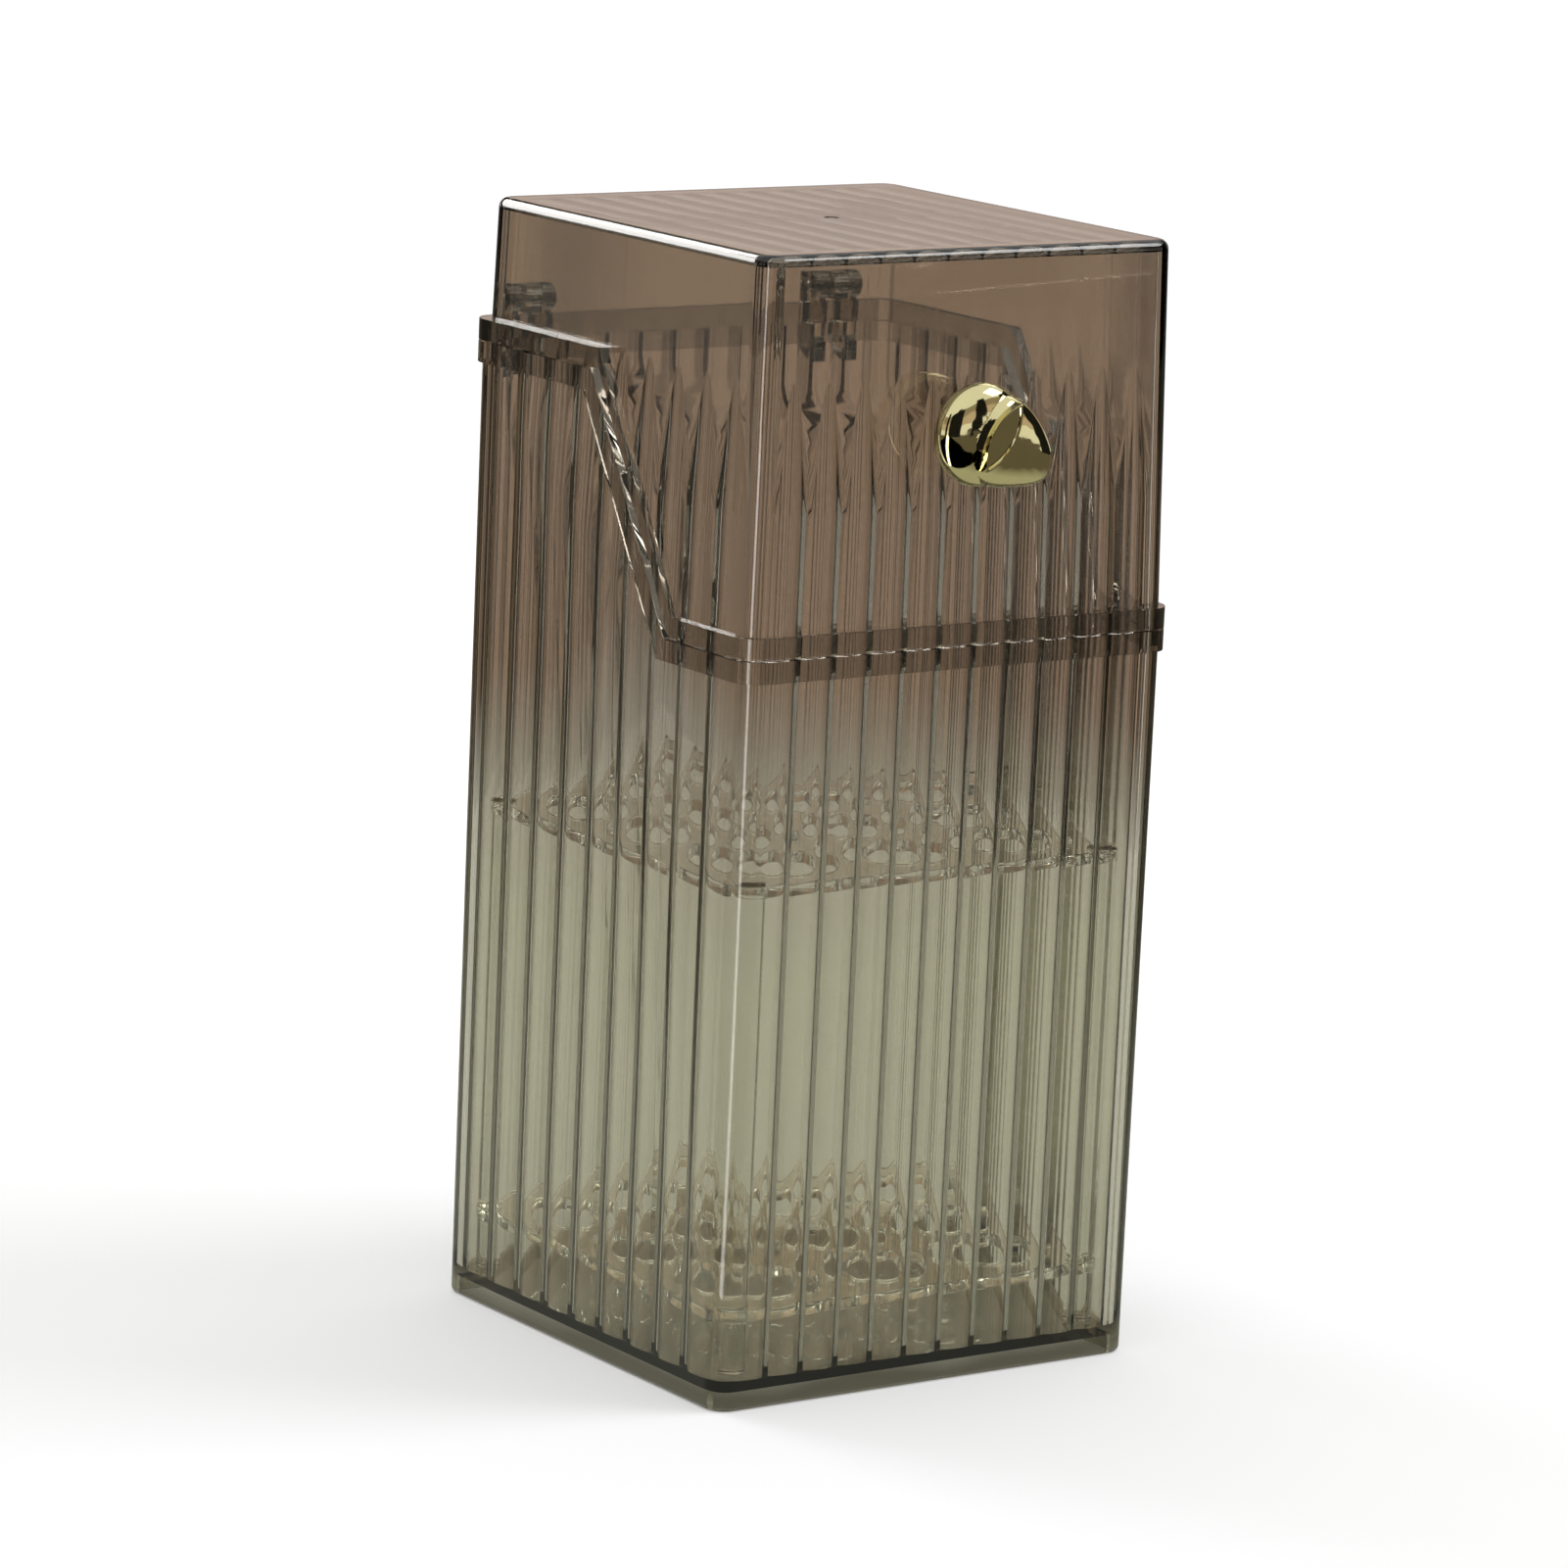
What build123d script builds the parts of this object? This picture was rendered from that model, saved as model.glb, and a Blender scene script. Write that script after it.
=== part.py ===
from build123d import *
import math
import os

# Makeup brush box: a tall fluted box with a hinged lid, a gold knob and a lift-out rack.
# Millimetres. Origin at the centre of the base, +Z up, the knob faces -Y, +X to the right.

# Overall sizes
BASE_WIDTH = 106.9
BASE_DEPTH = 106.9
BOX_HEIGHT = 240.0
CORNER_RADIUS = 5.0

# Draft of the two mouldings: the body widens upwards, the lid narrows upwards
BODY_DRAFT_DEG = 0.05
LID_DRAFT_DEG = 1.1
LID_TOP_INSET = 1.6

# Walls
BODY_WALL = 2.6
LID_WALL = 2.4
FLOOR_THICKNESS = 2.5
LID_TOP_THICKNESS = 2.6
SKIRT_HEIGHT = 3.8
SKIRT_WALL = 3.0
BOTTOM_ROUND = 1.2
TOP_ROUND = 2.0

# Flutes on the inside of the walls and under the lid's top
FRONT_FLUTE_COUNT = 11
SIDE_FLUTE_COUNT = 9
FLUTE_DEPTH = 1.2
FLUTE_LAND = 0.3
FLUTE_TIP_LENGTH = 14.0
FLUTE_TIP_WIDTH = 0.8
FLUTE_TIP_DEPTH = 0.05
LID_FLUTE_HEIGHT = 38.0
TOP_FLUTE_MARGIN = 4.0
GATE_MARK_RADIUS = 1.6
GATE_MARK_DEPTH = 0.3

# The seam between body and lid: high at the rear, a slope on each side, low at the front
LID_REAR_HEIGHT = 30.5
LID_FRONT_HEIGHT = 82.0
SLOPE_REAR_Y = 6.8
SLOPE_FRONT_Y = -24.3
SEAM_GAP = 0.3

# The flange along each side of the seam
FLANGE_HEIGHT = 4.5
FLANGE_PROUD = 1.0
FLANGE_ROOT = 1.0

# Hinges: two body lugs and one lid lug on a steel pin, left and right
HINGE_INSET = 14.4
HINGE_AXIS_RISE = 8.0
HINGE_WALL_GAP = 0.5
LUG_RADIUS = 3.0
LUG_WIDTH = 3.8
LUG_GAP = 0.35
LUG_FLANGE_GAP = 0.3
LUG_GUSSET_HEIGHT = 10.0
LID_STOP_DEG = 108.0
HINGE_PIN_RADIUS = 1.0
HINGE_PIN_OVERHANG = 0.4
HINGE_RUNNING_FIT = 0.05

# Knob on the lid's front
KNOB_BELOW_TOP = 37.0
KNOB_STANDOFF = 4.5
KNOB_NECK_RADIUS = 3.6
KNOB_FOOT_RADIUS = 5.2
KNOB_FOOT_THICKNESS = 1.2
KNOB_THICKNESS = 10.0
LEFT_LOBE_RADIUS = 11.8
LEFT_LOBE_X = -4.4
RIGHT_LOBE_RADIUS = 10.2
RIGHT_LOBE_X = 5.4
RIGHT_LOBE_DROP = 2.0
PETAL_LENGTH = 18.6
PETAL_WIDTH = 7.2
PETAL_PROUD = 1.2
PETAL_EDGE = 0.9
LOBE_RIM_ROUND = 2.0
PETAL_TILT_DEG = 33.0

# Knob screw, driven from inside the lid
SCREW_RADIUS = 1.5
SCREW_HOLE_CLEARANCE = 0.1
SCREW_HEAD_CLEARANCE = 0.05
SCREW_GRIP = 7.0
SCREW_HEAD_RADIUS = 2.9
SCREW_HEAD_HEIGHT = 1.9
SCREW_SLOT_WIDTH = 0.7
SCREW_SLOT_DEPTH = 0.8

# Rack: two plates with nine holes each, on four round posts
RACK_GAP = 2.3
RACK_CORNER_RADIUS = 4.0
RACK_PLATE = 2.5
UPPER_TRAY_TOP_Z = 110.0
LOWER_TRAY_TOP_Z = 20.0
BRUSH_HOLE_ROWS = 3
BRUSH_HOLE_PITCH_SHARE = 0.3
BRUSH_HOLE_BRIDGE = 5.5
POST_RADIUS = 2.5
POST_INSET = 3.3

# Sizes that follow from those above
FLOOR_TOP_Z = SKIRT_HEIGHT + FLOOR_THICKNESS
LID_TOP_WIDTH = BASE_WIDTH - 2 * LID_TOP_INSET
LID_TOP_DEPTH = BASE_DEPTH - 2 * LID_TOP_INSET
LID_CEILING_Z = BOX_HEIGHT - LID_TOP_THICKNESS
REAR_SEAM_Z = BOX_HEIGHT - LID_REAR_HEIGHT
FRONT_SEAM_Z = BOX_HEIGHT - LID_FRONT_HEIGHT
KNOB_HEIGHT = BOX_HEIGHT - KNOB_BELOW_TOP
BODY_SPREAD = math.tan(math.radians(BODY_DRAFT_DEG))
LID_SPREAD = math.tan(math.radians(LID_DRAFT_DEG))
RIM_WIDTH = BASE_WIDTH + 2 * BODY_SPREAD * REAR_SEAM_Z
RIM_DEPTH = BASE_DEPTH + 2 * BODY_SPREAD * REAR_SEAM_Z
CAVITY_WIDTH = BASE_WIDTH - 2 * BODY_WALL
CAVITY_DEPTH = BASE_DEPTH - 2 * BODY_WALL
CAVITY_RADIUS = CORNER_RADIUS - BODY_WALL
RACK_WIDTH = CAVITY_WIDTH - 2 * RACK_GAP
RACK_DEPTH = CAVITY_DEPTH - 2 * RACK_GAP
BRUSH_HOLE_PITCH_X = BRUSH_HOLE_PITCH_SHARE * RACK_WIDTH
BRUSH_HOLE_PITCH_Y = BRUSH_HOLE_PITCH_SHARE * RACK_DEPTH
BRUSH_HOLE_RADIUS = (min(BRUSH_HOLE_PITCH_X, BRUSH_HOLE_PITCH_Y) - BRUSH_HOLE_BRIDGE) / 2
HINGE_SPACING = BASE_WIDTH - 2 * HINGE_INSET
HINGE_AXIS_Z = REAR_SEAM_Z + HINGE_AXIS_RISE
PART_SPAN = 2 * max(BASE_WIDTH, BASE_DEPTH)


def lid_half_depth(z):
    """Distance from the middle of the lid to the outside of its front or rear wall at height z."""
    return LID_TOP_DEPTH / 2 + LID_SPREAD * (BOX_HEIGHT - z)


HINGE_AXIS_Y = lid_half_depth(HINGE_AXIS_Z) + HINGE_WALL_GAP + LUG_RADIUS


def rounded_block(width, depth, radius, z_low, z_high, draft_deg=0.0):
    """A rounded block standing on z_low; a positive draft narrows it upwards."""
    outline = Plane.XY.offset(z_low) * RectangleRounded(width, depth, radius)
    return extrude(outline, z_high - z_low, taper=draft_deg)


def fluted_outline(width, depth, radius, z, land, flute_depth):
    """A rounded rectangle at height z whose sides bulge outwards in equal shallow arcs."""
    sides = (
        (width, depth, FRONT_FLUTE_COUNT, 0),
        (depth, width, SIDE_FLUTE_COUNT, 90),
        (width, depth, FRONT_FLUTE_COUNT, 180),
        (depth, width, SIDE_FLUTE_COUNT, 270),
    )
    edges = []
    for along, across, count, turn in sides:
        half_run = along / 2 - radius
        pitch = 2 * half_run / count
        wall_y = -across / 2
        for index in range(count):
            left = -half_run + index * pitch
            right = left + pitch
            first = Vector(left + land / 2, wall_y, z)
            last = Vector(right - land / 2, wall_y, z)
            middle = Vector((left + right) / 2, wall_y - flute_depth, z)
            pieces = [
                Line((left, wall_y, z), first),
                ThreePointArc(first, middle, last),
                Line(last, (right, wall_y, z)),
            ]
            edges += [piece.rotate(Axis.Z, turn) for piece in pieces]
        centre_x = half_run
        centre_y = wall_y + radius
        bend = radius * math.sin(math.radians(45))
        corner = ThreePointArc(
            (half_run, wall_y, z),
            (centre_x + bend, centre_y - bend, z),
            (centre_x + radius, centre_y, z),
        )
        edges.append(corner.rotate(Axis.Z, turn))
    return make_face(edges)


def knee_y(y, offset):
    """Where a corner of the seam lies along Y once the seam is moved outwards by offset."""
    run = SLOPE_FRONT_Y - SLOPE_REAR_Y
    fall = FRONT_SEAM_Z - REAR_SEAM_Z
    length = math.hypot(run, fall)
    normal_y = fall / length
    normal_z = -run / length
    return y + offset * normal_y + run * offset * (1 - normal_z) / fall


def seam_points(offset):
    """The seam seen from the side, front to rear, moved up and forwards by offset."""
    return [
        (-PART_SPAN, FRONT_SEAM_Z + offset),
        (knee_y(SLOPE_FRONT_Y, offset), FRONT_SEAM_Z + offset),
        (knee_y(SLOPE_REAR_Y, offset), REAR_SEAM_Z + offset),
        (PART_SPAN, REAR_SEAM_Z + offset),
    ]


def side_prism(points, x_low, x_high):
    """A prism along X with the given outline in Y and Z."""
    outline = make_face(Polyline(*[(x_low, y, z) for y, z in points], close=True))
    return extrude(outline, x_high - x_low, dir=(1, 0, 0))


def space_above_seam(offset):
    top = BOX_HEIGHT + PART_SPAN
    return side_prism(
        seam_points(offset) + [(PART_SPAN, top), (-PART_SPAN, top)], -PART_SPAN, PART_SPAN
    )


def flange(low_offset, high_offset):
    """The collar that follows the seam between two offsets from it."""
    outside = rounded_block(
        RIM_WIDTH + 2 * FLANGE_PROUD,
        RIM_DEPTH + 2 * FLANGE_PROUD,
        CORNER_RADIUS + FLANGE_PROUD,
        0,
        BOX_HEIGHT,
    )
    inside = rounded_block(
        LID_TOP_WIDTH - 2 * FLANGE_ROOT,
        LID_TOP_DEPTH - 2 * FLANGE_ROOT,
        CORNER_RADIUS - FLANGE_ROOT,
        0,
        BOX_HEIGHT,
    )
    band = side_prism(
        seam_points(low_offset) + seam_points(high_offset)[::-1], -PART_SPAN, PART_SPAN
    )
    return (outside - inside) & band


def hinge_lug_centres(side):
    """X of the outer body lug, the lid lug and the inner body lug of one hinge."""
    step = LUG_WIDTH + LUG_GAP
    middle = side * HINGE_SPACING / 2
    return middle - step, middle, middle + step


def cylinder_along_x(radius, length, x, y, z):
    return Pos(x, y, z) * Rot(0, 90, 0) * Cylinder(radius, length)


def cylinder_along_y(radius, y_low, y_high, z):
    middle = (y_low + y_high) / 2
    return Pos(0, middle, z) * Rot(90, 0, 0) * Cylinder(radius, y_high - y_low)


def body_lug(x):
    """One upright lug behind the lid, with a gusset below it and a heel that stops the lid."""
    seam_z = REAR_SEAM_Z - SEAM_GAP / 2
    wall_y = RIM_DEPTH / 2 - BODY_WALL / 2
    front_y = RIM_DEPTH / 2 + FLANGE_PROUD + LUG_FLANGE_GAP
    rear_y = HINGE_AXIS_Y + LUG_RADIUS
    stop = math.radians(LID_STOP_DEG)
    reach = LUG_RADIUS + HINGE_WALL_GAP
    heel_z = HINGE_AXIS_Z + (reach + LUG_RADIUS * math.cos(stop)) / math.sin(stop)
    gusset_rise = rear_y - wall_y
    points = [
        (wall_y, seam_z - LUG_GUSSET_HEIGHT),
        (wall_y, seam_z),
        (front_y, seam_z),
        (front_y, HINGE_AXIS_Z),
        (HINGE_AXIS_Y, HINGE_AXIS_Z),
        (HINGE_AXIS_Y, heel_z),
        (rear_y, heel_z),
        (rear_y, seam_z - LUG_GUSSET_HEIGHT + gusset_rise),
    ]
    plate = side_prism(points, x - LUG_WIDTH / 2, x + LUG_WIDTH / 2)
    barrel = cylinder_along_x(LUG_RADIUS, LUG_WIDTH, x, HINGE_AXIS_Y, HINGE_AXIS_Z)
    hole = cylinder_along_x(HINGE_PIN_RADIUS, 2 * LUG_WIDTH, x, HINGE_AXIS_Y, HINGE_AXIS_Z)
    return plate + barrel - hole


def lid_lug(x):
    """The lid's lug between the two body lugs, carried on a web from the rear wall."""
    root_y = lid_half_depth(HINGE_AXIS_Z) - LID_WALL / 2
    low_z = HINGE_AXIS_Z - LUG_RADIUS
    high_z = HINGE_AXIS_Z + LUG_RADIUS
    points = [(root_y, low_z), (root_y, high_z), (HINGE_AXIS_Y, high_z), (HINGE_AXIS_Y, low_z)]
    web = side_prism(points, x - LUG_WIDTH / 2, x + LUG_WIDTH / 2)
    barrel = cylinder_along_x(LUG_RADIUS, LUG_WIDTH, x, HINGE_AXIS_Y, HINGE_AXIS_Z)
    bore_radius = HINGE_PIN_RADIUS + HINGE_RUNNING_FIT
    hole = cylinder_along_x(bore_radius, 2 * LUG_WIDTH, x, HINGE_AXIS_Y, HINGE_AXIS_Z)
    return web + barrel - hole


def body_shell():
    """The fluted box, open at its slanted mouth, on a recessed floor with a skirt."""
    shell = rounded_block(
        BASE_WIDTH, BASE_DEPTH, CORNER_RADIUS, 0, REAR_SEAM_Z + FLANGE_HEIGHT, -BODY_DRAFT_DEG
    )
    shell = fillet(shell.faces().sort_by(Axis.Z)[0].edges(), BOTTOM_ROUND)
    cavity_floor = fluted_outline(
        CAVITY_WIDTH, CAVITY_DEPTH, CAVITY_RADIUS, FLOOR_TOP_Z, FLUTE_LAND, FLUTE_DEPTH
    )
    shell -= extrude(cavity_floor, BOX_HEIGHT)
    shell -= rounded_block(
        BASE_WIDTH - 2 * SKIRT_WALL,
        BASE_DEPTH - 2 * SKIRT_WALL,
        CORNER_RADIUS - SKIRT_WALL,
        -SKIRT_HEIGHT,
        SKIRT_HEIGHT,
    )
    shell -= space_above_seam(-SEAM_GAP / 2)
    shell += flange(-SEAM_GAP / 2 - FLANGE_HEIGHT, -SEAM_GAP / 2)
    for side in (-1, 1):
        outer, _, inner = hinge_lug_centres(side)
        shell += body_lug(outer)
        shell += body_lug(inner)
    return shell


def lid_cavity():
    """The hollow of the lid: fluted low down, flute tips that narrow to points, plain above."""

    def outline(z, land, flute_depth):
        shrink = 2 * LID_WALL - 2 * LID_SPREAD * (BOX_HEIGHT - z)
        radius = CORNER_RADIUS - LID_WALL
        width = LID_TOP_WIDTH - shrink
        depth = LID_TOP_DEPTH - shrink
        return fluted_outline(width, depth, radius, z, land, flute_depth)

    low_z = FRONT_SEAM_Z - FLANGE_HEIGHT
    shoulder_z = FRONT_SEAM_Z + LID_FLUTE_HEIGHT
    tip_z = shoulder_z + FLUTE_TIP_LENGTH
    front_pitch = (LID_TOP_WIDTH - 2 * CORNER_RADIUS) / FRONT_FLUTE_COUNT
    tip_land = front_pitch - FLUTE_TIP_WIDTH
    low = outline(low_z, FLUTE_LAND, FLUTE_DEPTH)
    shoulder = outline(shoulder_z, FLUTE_LAND, FLUTE_DEPTH)
    tips = outline(tip_z, tip_land, FLUTE_TIP_DEPTH)
    plain = rounded_block(
        LID_TOP_WIDTH - 2 * LID_WALL + 2 * LID_SPREAD * (BOX_HEIGHT - tip_z),
        LID_TOP_DEPTH - 2 * LID_WALL + 2 * LID_SPREAD * (BOX_HEIGHT - tip_z),
        CORNER_RADIUS - LID_WALL,
        tip_z,
        LID_CEILING_Z,
        LID_DRAFT_DEG,
    )
    return [loft([low, shoulder], ruled=True), loft([shoulder, tips], ruled=True), plain]


def lid_shell():
    """The lid: rounded top edges, a slanted lower edge with its flange, two hinge lugs."""
    lid = rounded_block(
        LID_TOP_WIDTH + 2 * LID_SPREAD * (BOX_HEIGHT - FRONT_SEAM_Z + FLANGE_HEIGHT),
        LID_TOP_DEPTH + 2 * LID_SPREAD * (BOX_HEIGHT - FRONT_SEAM_Z + FLANGE_HEIGHT),
        CORNER_RADIUS,
        FRONT_SEAM_Z - FLANGE_HEIGHT,
        BOX_HEIGHT,
        LID_DRAFT_DEG,
    )
    lid = fillet(lid.faces().sort_by(Axis.Z)[-1].edges(), TOP_ROUND)
    for hollow in lid_cavity():
        lid -= hollow
    lid -= top_flutes()
    lid -= Pos(0, 0, BOX_HEIGHT - GATE_MARK_DEPTH / 2) * Cylinder(GATE_MARK_RADIUS, GATE_MARK_DEPTH)
    wall_y = -lid_half_depth(KNOB_HEIGHT)
    lid -= cylinder_along_y(
        SCREW_RADIUS + SCREW_HOLE_CLEARANCE, wall_y - LID_WALL, wall_y + 2 * LID_WALL, KNOB_HEIGHT
    )
    lid = lid & space_above_seam(SEAM_GAP / 2)
    lid += flange(SEAM_GAP / 2, SEAM_GAP / 2 + FLANGE_HEIGHT)
    for side in (-1, 1):
        lid += lid_lug(hinge_lug_centres(side)[1])
    return lid


def top_flutes():
    """Shallow round grooves under the lid's top that run from front to rear."""
    run = LID_TOP_WIDTH - 2 * CORNER_RADIUS
    pitch = run / FRONT_FLUTE_COUNT
    half_width = (pitch - FLUTE_LAND) / 2
    length = LID_TOP_DEPTH - 2 * LID_WALL - 2 * TOP_FLUTE_MARGIN
    grooves = []
    for index in range(FRONT_FLUTE_COUNT):
        x = -run / 2 + (index + 0.5) * pitch
        left = (x - half_width, -length / 2, LID_CEILING_Z)
        right = (x + half_width, -length / 2, LID_CEILING_Z)
        crown = (x, -length / 2, LID_CEILING_Z + FLUTE_DEPTH)
        section = make_face([ThreePointArc(left, crown, right), Line(right, left)])
        grooves.append(extrude(section, length, dir=(0, 1, 0)))
    return grooves


def hinge_pin(side):
    length = 3 * LUG_WIDTH + 2 * LUG_GAP + 2 * HINGE_PIN_OVERHANG
    x = side * HINGE_SPACING / 2
    return cylinder_along_x(HINGE_PIN_RADIUS, length, x, HINGE_AXIS_Y, HINGE_AXIS_Z)


def lobe(radius):
    """A round pebble about Y: two shallow domes with a rounded rim."""
    half = KNOB_THICKNESS / 2
    dome_radius = (radius**2 + half**2) / (2 * half)
    front = Pos(0, dome_radius - half, 0) * Sphere(dome_radius)
    back = Pos(0, half - dome_radius, 0) * Sphere(dome_radius)
    pebble = front & back
    return fillet(pebble.edges().filter_by(GeomType.CIRCLE), LOBE_RIM_ROUND)


def petal():
    """A pointed leaf that stands out from the front of the lobes."""
    half_length = PETAL_LENGTH / 2
    half_width = PETAL_WIDTH / 2
    top = (0, 0, half_length)
    bottom = (0, 0, -half_length)
    outline = make_face(
        [
            ThreePointArc(top, (half_width, 0, 0), bottom),
            ThreePointArc(bottom, (-half_width, 0, 0), top),
        ]
    )
    front_y = -(KNOB_THICKNESS / 2 + PETAL_PROUD)
    leaf = extrude(outline, -front_y, dir=(0, -1, 0))
    leaf = chamfer(leaf.faces().sort_by(Axis.Y)[0].edges(), PETAL_EDGE)
    return Rot(0, PETAL_TILT_DEG, 0) * leaf


def knob():
    """A gold knob of two rounded lobes with a raised petal across them, on a short neck."""
    wall_y = -lid_half_depth(KNOB_HEIGHT)
    centre_y = wall_y - KNOB_STANDOFF - KNOB_THICKNESS / 2
    head = Pos(LEFT_LOBE_X, 0, 0) * lobe(LEFT_LOBE_RADIUS)
    head += Pos(RIGHT_LOBE_X, 0, -RIGHT_LOBE_DROP) * lobe(RIGHT_LOBE_RADIUS)
    head += petal()
    body = Pos(0, centre_y, KNOB_HEIGHT) * head
    body += cylinder_along_y(KNOB_NECK_RADIUS, centre_y, wall_y, KNOB_HEIGHT)
    body += cylinder_along_y(KNOB_FOOT_RADIUS, wall_y - KNOB_FOOT_THICKNESS, wall_y, KNOB_HEIGHT)
    body &= front_of_lid()
    return body - cylinder_along_y(SCREW_RADIUS, wall_y - SCREW_GRIP, wall_y, KNOB_HEIGHT)


def front_of_lid():
    """The space in front of the lid's leaning front wall, so that the knob's foot lies flat."""
    low_z = FRONT_SEAM_Z
    points = [
        (-PART_SPAN, low_z),
        (-lid_half_depth(low_z), low_z),
        (-lid_half_depth(BOX_HEIGHT), BOX_HEIGHT),
        (-PART_SPAN, BOX_HEIGHT),
    ]
    return side_prism(points, -PART_SPAN, PART_SPAN)


def knob_screw():
    """A slotted pan-head screw through the lid's wall into the knob."""
    wall_y = -lid_half_depth(KNOB_HEIGHT)
    head_y = wall_y + LID_WALL + SCREW_HEAD_CLEARANCE
    head_end_y = head_y + SCREW_HEAD_HEIGHT
    screw = cylinder_along_y(SCREW_RADIUS, wall_y - SCREW_GRIP, head_y, KNOB_HEIGHT)
    screw += cylinder_along_y(SCREW_HEAD_RADIUS, head_y, head_end_y, KNOB_HEIGHT)
    slot_y = head_end_y - SCREW_SLOT_DEPTH / 2
    slot = Box(2 * SCREW_HEAD_RADIUS, SCREW_SLOT_DEPTH, SCREW_SLOT_WIDTH)
    return screw - Pos(0, slot_y, KNOB_HEIGHT) * slot


def post_places():
    x = RACK_WIDTH / 2 - POST_INSET
    y = RACK_DEPTH / 2 - POST_INSET
    return {
        "front_left": (-x, -y),
        "front_right": (x, -y),
        "rear_left": (-x, y),
        "rear_right": (x, y),
    }


def rack_tray(top_z):
    """A clear plate with nine brush holes and a hole for each post."""
    tray = rounded_block(RACK_WIDTH, RACK_DEPTH, RACK_CORNER_RADIUS, top_z - RACK_PLATE, top_z)
    middle = Pos(0, 0, top_z - RACK_PLATE / 2)
    grid = GridLocations(BRUSH_HOLE_PITCH_X, BRUSH_HOLE_PITCH_Y, BRUSH_HOLE_ROWS, BRUSH_HOLE_ROWS)
    tray -= [middle * place * Cylinder(BRUSH_HOLE_RADIUS, 2 * RACK_PLATE) for place in grid]
    tray -= [
        middle * Pos(x, y, 0) * Cylinder(POST_RADIUS, 2 * RACK_PLATE)
        for x, y in post_places().values()
    ]
    return tray


def rack_post(x, y):
    height = UPPER_TRAY_TOP_Z - FLOOR_TOP_Z
    return Pos(x, y, FLOOR_TOP_Z + height / 2) * Cylinder(POST_RADIUS, height)


def build_parts():
    """Every piece of the box by name."""
    parts = {
        "body_shell": body_shell(),
        "lid_shell": lid_shell(),
        "hinge_pin_left": hinge_pin(-1),
        "hinge_pin_right": hinge_pin(1),
        "knob": knob(),
        "knob_screw": knob_screw(),
        "rack_upper_tray": rack_tray(UPPER_TRAY_TOP_Z),
        "rack_lower_tray": rack_tray(LOWER_TRAY_TOP_Z),
    }
    for place, (x, y) in post_places().items():
        parts[f"rack_post_{place}"] = rack_post(x, y)
    return parts


os.makedirs("parts", exist_ok=True)
for name, shape in build_parts().items():
    export_step(shape, f"parts/{name}.step")
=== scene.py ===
import math

import bmesh
import bpy
from bpy.props import FloatProperty, FloatVectorProperty, IntProperty, PointerProperty
from mathutils import Matrix, Vector


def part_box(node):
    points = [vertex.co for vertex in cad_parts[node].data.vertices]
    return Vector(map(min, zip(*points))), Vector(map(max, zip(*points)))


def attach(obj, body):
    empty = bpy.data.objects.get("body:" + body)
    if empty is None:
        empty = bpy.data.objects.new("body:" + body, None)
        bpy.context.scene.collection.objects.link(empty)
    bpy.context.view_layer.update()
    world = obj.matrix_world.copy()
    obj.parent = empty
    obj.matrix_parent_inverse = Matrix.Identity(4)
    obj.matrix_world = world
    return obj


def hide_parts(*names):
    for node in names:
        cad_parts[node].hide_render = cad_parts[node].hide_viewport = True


bl_info = {
    "name": "Makeup brush box",
    "version": (1, 0, 0),
    "blender": (4, 5, 0),
    "location": "3D View > Sidebar > Brush box",
    "description": "Builds a fluted smoke-plastic brush box with its lid, knob and rack",
    "category": "Object",
}

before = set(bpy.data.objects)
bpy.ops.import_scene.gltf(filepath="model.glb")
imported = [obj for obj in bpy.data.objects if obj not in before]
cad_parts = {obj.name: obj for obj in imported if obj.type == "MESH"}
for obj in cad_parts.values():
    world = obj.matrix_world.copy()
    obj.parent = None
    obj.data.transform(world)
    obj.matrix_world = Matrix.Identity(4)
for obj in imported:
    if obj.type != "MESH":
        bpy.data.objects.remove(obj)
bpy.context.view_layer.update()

MM = 0.001
HAIR = 0.001 * MM
# How far a tool reaches past the face that it cuts or joins
PAST = 1.0 * MM
# How deep one piece of the knob sinks into the next
SUNK = 0.1 * MM

# Overall sizes of the two mouldings
BASE_WIDTH = 106.9 * MM
BOX_HEIGHT = 240.0 * MM
CORNER_RADIUS = 5.0 * MM
LID_TOP_WIDTH = 103.7 * MM
BODY_WALL = 2.6 * MM
LID_WALL = 2.4 * MM
BODY_SPREAD = math.tan(math.radians(0.05))
LID_SPREAD = math.tan(math.radians(1.1))
FLOOR_TOP_Z = 6.3 * MM
LID_TOP_THICKNESS = 2.6 * MM
SKIRT_HEIGHT = 3.8 * MM
SKIRT_WALL = 3.0 * MM
BOTTOM_ROUND = 1.2 * MM
TOP_ROUND = 2.0 * MM

# The seam: high at the rear, a slope on each side, low at the front, with what is cut off at it
REAR_SEAM_Z = 209.5 * MM
FRONT_SEAM_Z = 158.0 * MM
SLOPE_REAR_Y = 6.8 * MM
SLOPE_FRONT_Y = -24.3 * MM
SEAM_GAP = 0.3 * MM
FLANGE_HEIGHT = 4.5 * MM
FLANGE_PROUD = 1.0 * MM
FLANGE_REACH = 20.0 * MM
BODY_SPARE = 4.0 * MM
LID_SPARE = 10.0 * MM
HOLLOW_SPARE = 20.0 * MM
RIM_WIDTH = BASE_WIDTH + 2 * BODY_SPREAD * REAR_SEAM_Z
FAR = 150.0 * MM

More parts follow.
